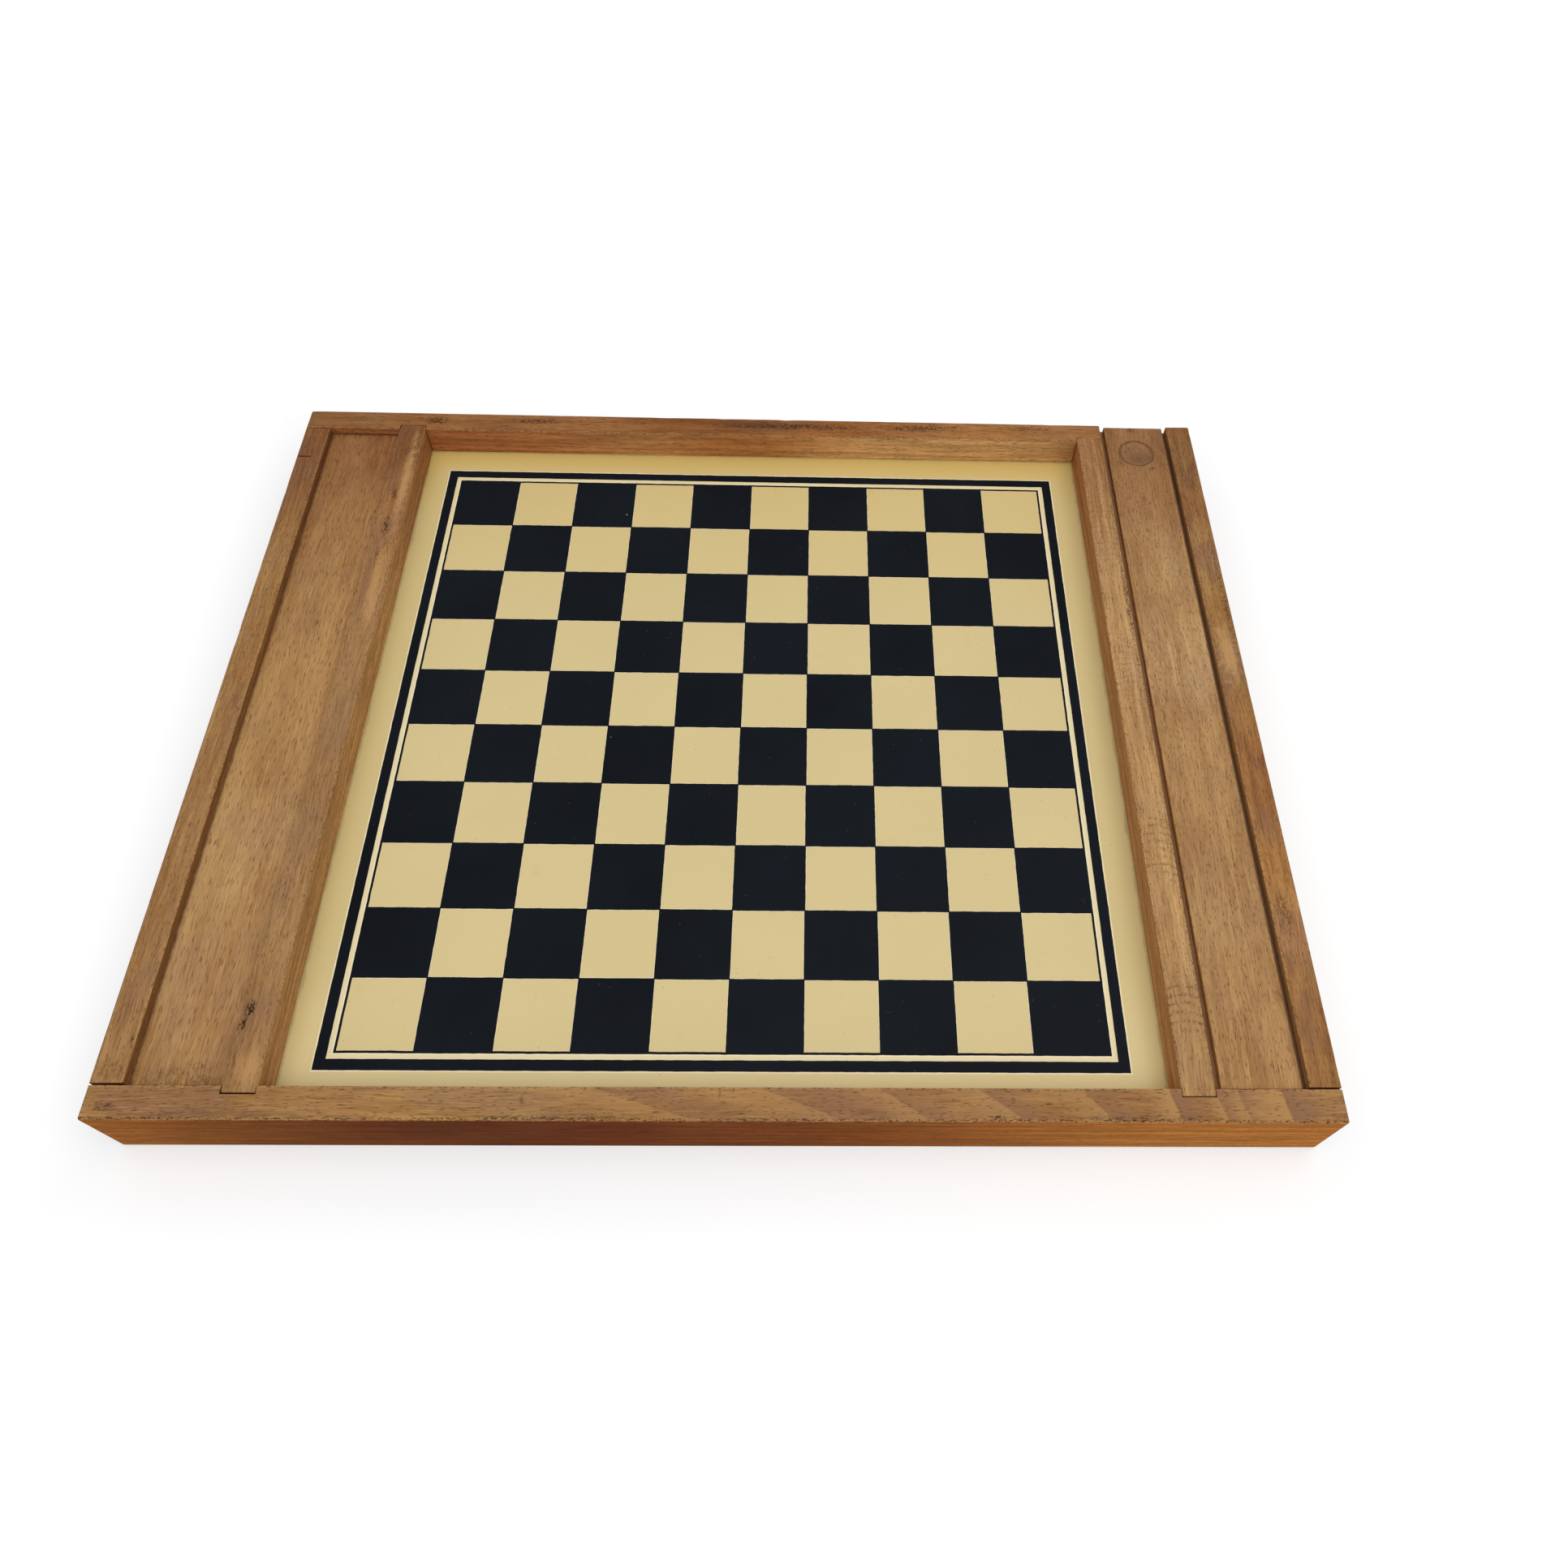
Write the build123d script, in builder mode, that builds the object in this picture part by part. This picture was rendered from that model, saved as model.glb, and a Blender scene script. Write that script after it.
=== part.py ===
"""Reversible game board: a wooden frame with a sunken printed board on each face.

Seen from above, +X is right, +Y is towards the end where the lids slide out and
+Z is up. The origin is the middle of the underside. The frame is the same again
when it is turned over about its Y axis, so each left piece is the right one turned.
"""

import os

from build123d import *

os.makedirs("parts", exist_ok=True)

# Frame of rails, in millimetres
front_rail_thickness = 12.0
back_rail_thickness = 12.0
outer_rail_thickness = 12.0
inner_rail_thickness = 12.6
compartment_width = 34.4
housing_depth = 3.0
edge_radius = 1.0

# Boards of the two playing faces and floors of the two compartments
well_depth = 15.0
board_thickness = 2.5
floor_thickness = 4.0
groove_depth = 4.0
lip_height = 4.1

# Sliding lids
tongue_thickness = 4.0
lid_thickness = 6.9
strip_by_inner_rail = 2.6
strip_by_outer_rail = 1.8
slide_clearance = 0.3
lid_edge_radius = 0.4
thumb_radius = 8.5
thumb_depth = 2.0
thumb_setback = 18.2

# Printed ink
ink_thickness = 0.15
draughts_square = 29.0
draughts_count = 10
chess_count = 8
corner_join = 0.4
edge_line_width = 0.9
line_gap = 2.2
border_width = 4.2

# Bare board between the printed border and the rails
left_margin = 11.6
right_margin = 13.2
front_margin = 10.1
back_margin = 13.7

# Dowels that hold the outer rails to the front rail
dowel_radius = 3.0
dowel_in_front_rail = 7.0
dowel_in_outer_rail = 16.0
dowel_spacing = 12.0
dowel_fit = 0.1
dowel_end_gap = 0.5

# Places that follow from the sizes; the two boards lie back to back, so they set the height
box_height = 2 * (well_depth + board_thickness)
grid_side = draughts_count * draughts_square
border_inside = grid_side + edge_line_width + 2 * line_gap
border_outside = border_inside + 2 * border_width
well_width = left_margin + border_outside + right_margin
well_length = front_margin + border_outside + back_margin
print_x = (left_margin - right_margin) / 2
print_y = (front_margin - back_margin) / 2
x_well = well_width / 2
x_inner = x_well + inner_rail_thickness
x_compartment = x_inner + compartment_width
x_outside = x_compartment + outer_rail_thickness
y_well = well_length / 2
y_front = y_well + front_rail_thickness
y_back = y_well + back_rail_thickness
x_compartment_middle = (x_inner + x_compartment) / 2
x_outer_rail_middle = (x_compartment + x_outside) / 2
turn_axis = Axis((0, 0, box_height / 2), (0, 1, 0))

# Heights on the upper face; the lower face has them measured up from zero
board_top = box_height - well_depth
board_span = (board_top - board_thickness, board_top)
lower_board_span = (well_depth, well_depth + board_thickness)
slot_height = tongue_thickness + slide_clearance
slot_top = box_height - lip_height
slot_floor = slot_top - slot_height
slot_span = (slot_floor, slot_top)
lower_slot_span = (lip_height, lip_height + slot_height)
floor_span = (lip_height, lip_height + floor_thickness)
upper_floor_span = (slot_top - floor_thickness, slot_top)
tongue_reach = groove_depth - slide_clearance


def span_rectangle(x_span, z_span):
    """Draw a rectangle between two X values and two heights in the open sketch."""
    with Locations((sum(x_span) / 2, sum(z_span) / 2)):
        Rectangle(x_span[1] - x_span[0], z_span[1] - z_span[0])


def end_rail_grooves():
    """Draw every groove that the inner face of an end rail has for boards and floors."""
    board_reach = (-x_well - groove_depth, x_well + groove_depth)
    span_rectangle(board_reach, board_span)
    span_rectangle(board_reach, lower_board_span)
    side_reach = (x_inner - groove_depth, x_compartment + groove_depth)
    span_rectangle(side_reach, floor_span)
    span_rectangle((-side_reach[1], -side_reach[0]), upper_floor_span)


def housings():
    """Draw the two upright housings that take the ends of the inner rails."""
    span_rectangle((x_well, x_inner), (0, box_height))
    span_rectangle((-x_inner, -x_well), (0, box_height))


def dowel_circles(x_middle, radius):
    """Draw the pair of dowels of one corner at the middle height of the frame."""
    with Locations((x_middle, box_height / 2)):
        with GridLocations(0, dowel_spacing, 1, 2):
            Circle(radius)


# Front rail, full width, grooved and housed on its inner face
with BuildPart() as front_rail:
    with BuildSketch(Plane.XZ.offset(y_well)):
        span_rectangle((-x_outside, x_outside), (0, box_height))
    extrude(amount=front_rail_thickness)
    end_edges = front_rail.edges().filter_by(Axis.Y)
    outer_edges = front_rail.edges().group_by(Axis.Y)[0]
    fillet(outer_edges + end_edges, edge_radius)
    with BuildSketch(Plane.XZ.offset(y_well)):
        end_rail_grooves()
        lid_reach = (x_inner - groove_depth, x_compartment + groove_depth)
        span_rectangle(lid_reach, slot_span)
        span_rectangle((-lid_reach[1], -lid_reach[0]), lower_slot_span)
    extrude(amount=groove_depth, mode=Mode.SUBTRACT)
    with BuildSketch(Plane.XZ.offset(y_well)):
        housings()
    extrude(amount=housing_depth, mode=Mode.SUBTRACT)
    with BuildSketch(Plane.XZ.offset(y_well)):
        dowel_circles(x_outer_rail_middle, dowel_radius + dowel_fit)
        dowel_circles(-x_outer_rail_middle, dowel_radius + dowel_fit)
    extrude(amount=dowel_in_front_rail + dowel_end_gap, mode=Mode.SUBTRACT)

# Back rail, cut down where each lid slides out over it
with BuildPart() as back_rail:
    with BuildSketch(Plane.XZ.offset(-y_well)):
        span_rectangle((-x_outside, x_inner), (lower_slot_span[1], box_height))
        span_rectangle((-x_inner, x_outside), (0, slot_floor))
    extrude(amount=-back_rail_thickness)
    outer_edges = back_rail.edges().group_by(Axis.Y)[-1]
    long_edges = outer_edges.filter_by(Axis.X)
    end_edges = back_rail.edges().filter_by(Axis.Y).group_by(Axis.X)
    upright_edges = outer_edges.filter_by(Axis.Z).group_by(Axis.X)
    round_edges = long_edges.group_by(Axis.Z)[0] + long_edges.group_by(Axis.Z)[-1]
    round_edges += upright_edges[0] + upright_edges[-1]
    round_edges += end_edges[0].sort_by(Axis.Z)[-1:] + end_edges[-1].sort_by(Axis.Z)[:1]
    fillet(round_edges, edge_radius)
    with BuildSketch(Plane.XZ.offset(-y_well)):
        end_rail_grooves()
    extrude(amount=-groove_depth, mode=Mode.SUBTRACT)
    with BuildSketch(Plane.XZ.offset(-y_well)):
        housings()
    extrude(amount=-housing_depth, mode=Mode.SUBTRACT)
    with BuildSketch(Plane.XZ.offset(-y_well)):
        span_rectangle((x_inner - groove_depth, x_inner), slot_span)
        span_rectangle((-x_inner, groove_depth - x_inner), lower_slot_span)
    extrude(amount=-back_rail_thickness, mode=Mode.SUBTRACT)

# Right outer rail, whose upper part laps over the back rail to the back face
with BuildPart() as right_outer_rail:
    with BuildSketch(Plane.XZ.offset(y_well)):
        span_rectangle((x_compartment, x_outside), (0, box_height))
    extrude(amount=-well_length)
    with BuildSketch(Plane.XZ.offset(-y_well)):
        span_rectangle((x_compartment, x_outside), (slot_floor, box_height))
    extrude(amount=-back_rail_thickness)
    outer_face = right_outer_rail.faces().sort_by(Axis.X)[-1]
    long_edges = outer_face.edges().filter_by(Axis.Y).group_by(Axis.Z)
    back_edges = right_outer_rail.faces().sort_by(Axis.Y)[-1].edges()
    round_edges = long_edges[0] + long_edges[-1]
    round_edges += back_edges.filter_by(Axis.X).sort_by(Axis.Z)[-1:]
    round_edges += back_edges.filter_by(Axis.Z).sort_by(Axis.X)[-1:]
    fillet(round_edges, edge_radius)
    with BuildSketch(Plane.XZ.offset(y_well)):
        groove_x = (x_compartment, x_compartment + groove_depth)
        span_rectangle(groove_x, slot_span)
        span_rectangle(groove_x, floor_span)
    extrude(amount=-well_length - back_rail_thickness, mode=Mode.SUBTRACT)
    with BuildSketch(Plane.XZ.offset(y_well)):
        dowel_circles(x_outer_rail_middle, dowel_radius + dowel_fit)
    extrude(amount=-dowel_in_outer_rail - dowel_end_gap, mode=Mode.SUBTRACT)

turned_outer_rail = right_outer_rail.part.rotate(turn_axis, 180)
with BuildPart() as left_outer_rail:
    add(turned_outer_rail)

# Right inner rail, housed at both ends and grooved on both faces
with BuildPart() as right_inner_rail:
    with BuildSketch(Plane.XZ.offset(y_well + housing_depth)):
        span_rectangle((x_well, x_inner), (0, box_height))
    extrude(amount=-well_length - 2 * housing_depth)
    with BuildSketch(Plane.XZ.offset(y_well + housing_depth)):
        span_rectangle((x_well, x_well + groove_depth), board_span)
        span_rectangle((x_well, x_well + groove_depth), lower_board_span)
        span_rectangle((x_inner - groove_depth, x_inner), slot_span)
        span_rectangle((x_inner - groove_depth, x_inner), floor_span)
    extrude(amount=-well_length - 2 * housing_depth, mode=Mode.SUBTRACT)

turned_inner_rail = right_inner_rail.part.rotate(turn_axis, 180)
with BuildPart() as left_inner_rail:
    add(turned_inner_rail)

# Boards of the two playing faces, back to back in one groove on all four sides
with BuildPart() as draughts_board:
    with BuildSketch(Plane.XY.offset(board_span[0])):
        Rectangle(well_width + 2 * groove_depth, well_length + 2 * groove_depth)
    extrude(amount=board_thickness)

with BuildPart() as chess_board:
    with BuildSketch(Plane.XY.offset(lower_board_span[0])):
        Rectangle(well_width + 2 * groove_depth, well_length + 2 * groove_depth)
    extrude(amount=board_thickness)

# Fixed floors of the compartments, each under the other face's lid
with BuildPart() as right_floor:
    with BuildSketch(Plane.XY.offset(floor_span[0])):
        with Locations((x_compartment_middle, 0)):
            Rectangle(compartment_width + 2 * groove_depth, well_length + 2 * groove_depth)
    extrude(amount=floor_thickness)

turned_floor = right_floor.part.rotate(turn_axis, 180)
with BuildPart() as left_floor:
    add(turned_floor)

# Right lid: a raised field between thin tongues, with a dished thumb recess
with BuildPart() as right_lid:
    with BuildSketch(Plane.XZ.offset(y_well + tongue_reach)):
        span_rectangle(
            (x_inner - tongue_reach, x_compartment + tongue_reach),
            (slot_floor, slot_floor + tongue_thickness),
        )
    extrude(amount=-well_length - tongue_reach - back_rail_thickness)
    field_x = (x_inner + strip_by_inner_rail, x_compartment - strip_by_outer_rail)
    with BuildSketch(Plane.XZ.offset(y_well - slide_clearance)):
        span_rectangle(field_x, (slot_floor, slot_floor + lid_thickness))
    extrude(amount=-well_length + slide_clearance - back_rail_thickness)
    field_face = right_lid.faces().sort_by(Axis.Z)[-1]
    fillet(field_face.edges(), lid_edge_radius)
    dish_radius = (thumb_radius**2 + thumb_depth**2) / (2 * thumb_depth)
    dish_middle = slot_floor + lid_thickness + dish_radius - thumb_depth
    with Locations((sum(field_x) / 2, y_back - thumb_setback, dish_middle)):
        Sphere(dish_radius, mode=Mode.SUBTRACT)

turned_lid = right_lid.part.rotate(turn_axis, 180)
with BuildPart() as left_lid:
    add(turned_lid)


def checker_sketch(count):
    """Draw the dark squares and the thin line round them, light at the near left."""
    square = grid_side / count
    Rectangle(grid_side + edge_line_width, grid_side + edge_line_width)
    Rectangle(grid_side - edge_line_width, grid_side - edge_line_width, mode=Mode.SUBTRACT)
    for column in range(count):
        for row in range(count):
            if (column + row) % 2 == 1:
                middle = (column + 0.5 - count / 2, row + 0.5 - count / 2)
                with Locations((middle[0] * square, middle[1] * square)):
                    Rectangle(square + corner_join, square + corner_join)


def border_sketch():
    """Draw the broad dark band round the squares."""
    Rectangle(border_outside, border_outside)
    Rectangle(border_inside, border_inside, mode=Mode.SUBTRACT)


# Ink of the draughts face, on top of its board
draughts_plane = Plane((print_x, print_y, board_top))
with BuildPart() as draughts_squares:
    with BuildSketch(draughts_plane):
        checker_sketch(draughts_count)
    extrude(amount=ink_thickness)

with BuildPart() as draughts_border:
    with BuildSketch(draughts_plane):
        border_sketch()
    extrude(amount=ink_thickness)

# Ink of the chess face, turned over and under its board
chess_plane = Plane((-print_x, print_y, well_depth), x_dir=(-1, 0, 0), z_dir=(0, 0, -1))
with BuildPart() as chess_squares:
    with BuildSketch(chess_plane):
        checker_sketch(chess_count)
    extrude(amount=ink_thickness)

with BuildPart() as chess_border:
    with BuildSketch(chess_plane):
        border_sketch()
    extrude(amount=ink_thickness)

pieces = {
    "front_rail": front_rail,
    "back_rail": back_rail,
    "left_outer_rail": left_outer_rail,
    "right_outer_rail": right_outer_rail,
    "left_inner_rail": left_inner_rail,
    "right_inner_rail": right_inner_rail,
    "draughts_board": draughts_board,
    "chess_board": chess_board,
    "left_floor": left_floor,
    "right_floor": right_floor,
    "left_lid": left_lid,
    "right_lid": right_lid,
    "draughts_squares": draughts_squares,
    "draughts_border": draughts_border,
    "chess_squares": chess_squares,
    "chess_border": chess_border,
}

# Blind dowels, two in each front corner
dowel_length = dowel_in_front_rail + dowel_in_outer_rail
for side, direction in (("left", -1), ("right", 1)):
    for level, step in (("lower", -1), ("upper", 1)):
        dowel_middle = (direction * x_outer_rail_middle, box_height / 2 + step * dowel_spacing / 2)
        with BuildPart() as dowel:
            with BuildSketch(Plane.XZ.offset(y_well + dowel_in_front_rail)):
                with Locations(dowel_middle):
                    Circle(dowel_radius)
            extrude(amount=-dowel_length)
        pieces[f"{side}_{level}_dowel"] = dowel

for name, piece in pieces.items():
    piece.part.label = name
    export_step(piece.part, f"parts/{name}.step")
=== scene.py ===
"""Dresses the reversible game board and sets it on a plain stage.

The beech rails, floors and lids are worked copies of their CAD pieces, the two cream boards
keep their CAD meshes, and the ink of both faces is printed by two geometry trees.
"""

import math

import bmesh
import bpy
from mathutils import Matrix, Vector, noise


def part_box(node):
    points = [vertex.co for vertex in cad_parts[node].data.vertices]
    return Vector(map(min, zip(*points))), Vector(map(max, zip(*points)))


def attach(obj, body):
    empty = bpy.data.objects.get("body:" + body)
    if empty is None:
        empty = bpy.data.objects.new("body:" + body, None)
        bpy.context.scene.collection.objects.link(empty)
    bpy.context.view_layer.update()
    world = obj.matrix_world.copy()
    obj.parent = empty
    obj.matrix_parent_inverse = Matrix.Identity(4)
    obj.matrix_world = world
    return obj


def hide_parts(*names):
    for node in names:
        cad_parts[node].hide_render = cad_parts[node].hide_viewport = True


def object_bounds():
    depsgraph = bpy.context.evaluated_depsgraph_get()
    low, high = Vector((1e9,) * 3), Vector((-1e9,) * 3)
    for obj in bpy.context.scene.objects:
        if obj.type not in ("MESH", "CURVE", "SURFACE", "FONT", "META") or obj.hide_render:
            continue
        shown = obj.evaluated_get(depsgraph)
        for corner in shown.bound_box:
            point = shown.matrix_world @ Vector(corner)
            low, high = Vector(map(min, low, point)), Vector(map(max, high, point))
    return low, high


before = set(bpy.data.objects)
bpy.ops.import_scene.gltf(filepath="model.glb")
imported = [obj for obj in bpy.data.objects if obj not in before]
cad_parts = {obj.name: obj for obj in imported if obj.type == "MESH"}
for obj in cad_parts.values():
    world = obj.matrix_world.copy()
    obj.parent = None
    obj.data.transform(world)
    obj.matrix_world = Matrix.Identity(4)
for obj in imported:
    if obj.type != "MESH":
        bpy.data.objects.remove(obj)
cad_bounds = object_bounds()

bl_info = {
    "name": "Reversible Game Board",
    "version": (1, 0, 0),
    "blender": (4, 5, 0),
    "location": "3D View > Sidebar > Game Board",
    "description": "Builds the rails, boards, ink, floors, lids and dowels of a reversible game board",
    "category": "Object",
}

MM = 0.001
# How deep the boards and the floors sit in the rails, in millimetres
GROOVE = 4.0

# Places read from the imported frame, in metres
well_low, well_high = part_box("draughts_board")
squares_low, squares_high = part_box("draughts_squares")
chess_low, chess_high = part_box("chess_squares")
whole_high = cad_bounds[1]


def tone(red, green, blue):
    """Turn a colour as a paint chart gives it, 0 to 255, into the linear one that a shader takes."""
    parts = []
    for part in (red, green, blue):
        part /= 255
        parts.append(part / 12.92 if part <= 0.04045 else ((part + 0.055) / 1.055) ** 2.4)
    return tuple(parts)


def colour_choice(name, description, chart):
    """A colour that a user can change, with its default from the chart."""
    return bpy.props.FloatVectorProperty(
        name=name,
        description=description,
        subtype="COLOR",
        size=3,
        min=0.0,
        max=1.0,
        default=tone(*chart),
    )


def length_choice(name, description, default):
    """A length that a user can change, in metres."""
    return bpy.props.FloatProperty(
        name=name,
        description=description,
        default=default,
        min=0.0,
        unit="LENGTH",
        subtype="DISTANCE",
        precision=5,
    )


class BeechSettings(bpy.types.PropertyGroup):
    """Sizes and tones of the beech rails, floors and lids."""

    easing: length_choice("Eased Edge", "Width that sandpaper took off each sharp edge", 0.35 * MM)
    slice_length: length_choice("Slice Length", "Distance between cuts that let it bend", 4.0 * MM)
    dent_depth: length_choice("Dent Depth", "Deepest dent along an edge", 0.28 * MM)
    golden: colour_choice("Golden Wood", "Worn upper faces where the wood is lightest", (174, 133, 88))
    brown: colour_choice("Brown Wood", "Upper faces that kept their patina", (150, 106, 66))
    pink: colour_choice("Pink Wood", "Greyish pink patches of the heartwood", (148, 109, 83))
    side: colour_choice("Side Wood", "Upright faces, which kept an orange polish", (176, 129, 79))
    end: colour_choice("End Grain", "Sawn ends of the rails", (122, 80, 48))
    fleck: colour_choice("Flecks", "Short dark flecks of the rays", (92, 58, 34))
    grime: colour_choice("Grime", "Dirt in pores, dents and corners", (46, 32, 24))


class BoardSettings(bpy.types.PropertyGroup):
    """Tones of the two cream boards."""

    cream: colour_choice("Cream", "Painted face between the squares", (213, 194, 142))
    yellowed: colour_choice("Yellowed Cream", "Face along the back, where it yellowed", (206, 176, 105))
    dull_and_shade: colour_choice("Dull Cream", "Face beside the side rails, where dust settled", (186, 164, 104))
    stain_and_shade: colour_choice("Stain", "Greenish grey dirt in the corners", (134, 122, 76))
    speck: colour_choice("Speck", "Small brown specks", (134, 106, 62))
    hairline: colour_choice("Hairline", "Clean paint along the edges of the ink", (244, 232, 196))


class InkSettings(bpy.types.PropertyGroup):
    """Sizes and tone of the printed squares and borders."""

    draughts_count: bpy.props.IntProperty(
        name="Draughts Squares",
        description="Squares along one side of the draughts face",
        default=10,
        min=2,
    )
    chess_count: bpy.props.IntProperty(
        name="Chess Squares", description="Squares along one side of the chess face", default=8, min=2
    )
    line_width: length_choice("Edge Line", "Width of the thin line round the squares", 0.9 * MM)
    line_gap: length_choice("Line Gap", "Bare gap from the thin line to the broad border", 2.2 * MM)
    border_width: length_choice("Border Width", "Width of the broad dark border", 4.2 * MM)
    corner_join: length_choice("Corner Join", "How far dark squares meet over a corner", 0.4 * MM)
    wobble: length_choice("Wobble", "How far a printed edge strays from its line", 0.16 * MM)
    ink: colour_choice("Ink", "Blue black printing ink", (16, 20, 26))


class StageSettings(bpy.types.PropertyGroup):
    """Light levels of the stage."""

    key_power: bpy.props.FloatProperty(
        name="Key Light",
        description="Power of the large soft lamp overhead",
        default=34.0,
        min=0.0,
        unit="POWER",
    )
    fill: bpy.props.FloatProperty(
        name="Fill Light", description="Brightness of the even light from above", default=0.55, min=0.0
    )
    low_fill: bpy.props.FloatProperty(
        name="Low Fill Light", description="Brightness of the light from below", default=0.50, min=0.0
    )
    floor_size: length_choice("Floor Size", "Side of the pale floor", 14.0)


class GameBoardSettings(bpy.types.PropertyGroup):
    """Every setting of the game board and its stage."""

    beech: bpy.props.PointerProperty(type=BeechSettings, name="Beech", description="Beech pieces")
    board: bpy.props.PointerProperty(type=BoardSettings, name="Boards", description="Cream boards")
    ink: bpy.props.PointerProperty(type=InkSettings, name="Ink", description="Printed ink")
    stage: bpy.props.PointerProperty(type=StageSettings, name="Stage", description="Floor and lights")


class Value:
    """A socket that takes part in Python expressions, each of which adds its Math node."""

    def __init__(self, nodes, socket):
        self.nodes = nodes
        self.socket = socket

    def maths(self, operation, *others, clamp=False):
        settings = {"operation": operation, "use_clamp": clamp}
        return self.nodes.add("ShaderNodeMath", settings, dict(enumerate((self, *others))))

    def __add__(self, other):
        return self.maths("ADD", other)

    def __radd__(self, other):
        return self.maths("ADD", other)

    def __sub__(self, other):
        return self.maths("SUBTRACT", other)

    def __rsub__(self, other):
        return self.nodes.number(other).maths("SUBTRACT", self)

    def __mul__(self, other):
        return self.maths("MULTIPLY", other)

    def __truediv__(self, other):
        return self.maths("DIVIDE", other)

    def __pow__(self, other):
        return self.maths("POWER", other)

    def __abs__(self):
        return self.maths("ABSOLUTE")

    def least(self, other):
        return self.maths("MINIMUM", other)

    def most(self, other):
        return self.maths("MAXIMUM", other)

    def clipped(self):
        return self.maths("MULTIPLY", 1.0, clamp=True)

    def rising(self, low, high):
        """0 below low and 1 above high, with a smooth rise; it falls where low is the greater."""
        settings = {"interpolation_type": "SMOOTHSTEP"}
        return self.nodes.add("ShaderNodeMapRange", settings, {0: self, 1: low, 2: high})


class Nodes:
    """Adds nodes to one tree, each from its type, its settings and what goes into its sockets."""

    def __init__(self, tree):
        self.tree = tree

    def node(self, kind, settings=None, inputs=None):
        made = self.tree.nodes.new(kind)
        for name, value in (settings or {}).items():
            setattr(made, name, value)
        for name, value in (inputs or {}).items():
            if isinstance(value, Value):
                self.tree.links.new(value.socket, made.inputs[name])
            else:
                made.inputs[name].default_value = value
        return made

    def add(self, kind, settings=None, inputs=None, output=0):
        made = self.node(kind, settings, inputs)
        return Value(self, made.outputs[output])

    def number(self, value):
        made = self.tree.nodes.new("ShaderNodeValue")
        made.outputs[0].default_value = value
        return Value(self, made.outputs[0])

    def vector(self, x, y, z):
        return self.add("ShaderNodeCombineXYZ", inputs={0: x, 1: y, 2: z})

    def parts(self, vector):
        made = self.node("ShaderNodeSeparateXYZ", inputs={0: vector})
        return [Value(self, made.outputs[axis]) for axis in range(3)]

    def mix(self, factor, first, second, blend="MIX"):
        """Mix two colours, given as four numbers or as links."""
        settings = {"data_type": "RGBA", "blend_type": blend, "clamp_factor": True}
        return self.add("ShaderNodeMix", settings, {0: factor, 6: first, 7: second}, output=2)

    def noise(self, vector, detail=2.0, roughness=0.5, scale=1.0):
        inputs = {"Vector": vector, "Scale": scale, "Detail": detail, "Roughness": roughness}
        return self.add("ShaderNodeTexNoise", {"noise_dimensions": "3D"}, inputs)

    def spots(self, vector, size, share, softness=0.6):
        """Spots of about the given radius in the vector's units, in that share of the cells."""
        cells = self.node(
            "ShaderNodeTexVoronoi",
            {"voronoi_dimensions": "3D", "feature": "F1"},
            {"Vector": vector, "Scale": 1.0, "Randomness": 1.0},
        )
        distance = Value(self, cells.outputs["Distance"])
        chance = self.parts(Value(self, cells.outputs["Color"]))[0]
        kept = chance.rising(1.0 - share, 1.0 - share + 0.06)
        return distance.rising(size, size * (1.0 - softness)) * kept


def rgba(colour):
    """A colour setting with its alpha, as colour sockets take it."""
    return (colour[0], colour[1], colour[2], 1.0)


def shaded(colour, factor):
    """A colour setting made darker or lighter by a plain factor."""
    return (colour[0] * factor, colour[1] * factor, colour[2] * factor, 1.0)


def new_material(name):
    """An empty node material with the Principled shader; gives its nodes and shader."""
    material = bpy.data.materials.new(name)
    material.use_nodes = True
    shader = material.node_tree.nodes["Principled BSDF"]
    return material, Nodes(material.node_tree), shader


def finish_material(nodes, shader, colour, roughness, height, bump_distance, gloss=0.5):
    """Wire colour, roughness and bump into the Principled shader, and set its gloss."""
    bump = nodes.add(
        "ShaderNodeBump", inputs={"Height": height, "Distance": bump_distance, "Strength": 1.0}
    )
    nodes.tree.links.new(colour.socket, shader.inputs["Base Color"])
    nodes.tree.links.new(roughness.socket, shader.inputs["Roughness"])
    nodes.tree.links.new(bump.socket, shader.inputs["Normal"])
    shader.inputs["Specular IOR Level"].default_value = gloss


def seen_directly(nodes):
    """1 on rays that come from the camera, straight or through something clear, else 0."""
    rays = nodes.node("ShaderNodeLightPath")
    camera_ray = Value(nodes, rays.outputs["Is Camera Ray"])
    clear_ray = Value(nodes, rays.outputs["Is Transmission Ray"])
    return camera_ray.most(clear_ray)


def millimetre_position(nodes):
    """The place on the object in millimetres, and its three parts."""
    place = nodes.add("ShaderNodeTexCoord", output="Object")
    scaled = nodes.add(
        "ShaderNodeVectorMath", {"operation": "SCALE"}, {"Vector": place, "Scale": 1 / MM}
    )
    return scaled, nodes.parts(scaled)


def face_directions(nodes):
    """How far each surface faces along X, Y and Z, without sign."""
    facing = nodes.add("ShaderNodeTexCoord", output="Normal")
    return [abs(part) for part in nodes.parts(facing)]


def distance_to_edges(nodes, place, low, high):
    """Distance from the nearest edge of a box to a place on its surface, in millimetres."""
    gaps = [
        (place[axis] - low[axis] / MM).least(high[axis] / MM - place[axis]).most(0.0)
        for axis in range(3)
    ]
    largest = gaps[0].most(gaps[1]).most(gaps[2])
    smallest = gaps[0].least(gaps[1]).least(gaps[2])
    return gaps[0] + gaps[1] + gaps[2] - largest - smallest


def layered(nodes, colour, *layers):
    """Lay tones over a colour one after another; each layer holds its amount and its tone."""
    for amount, over in layers:
        colour = nodes.mix(amount, colour, over)
    return colour


def tinted(nodes, colour, factor, amount=1.0):
    """Multiply a colour by a factor for red, green and blue."""
    return nodes.mix(amount, colour, (*factor, 1.0), blend="MULTIPLY")


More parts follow.
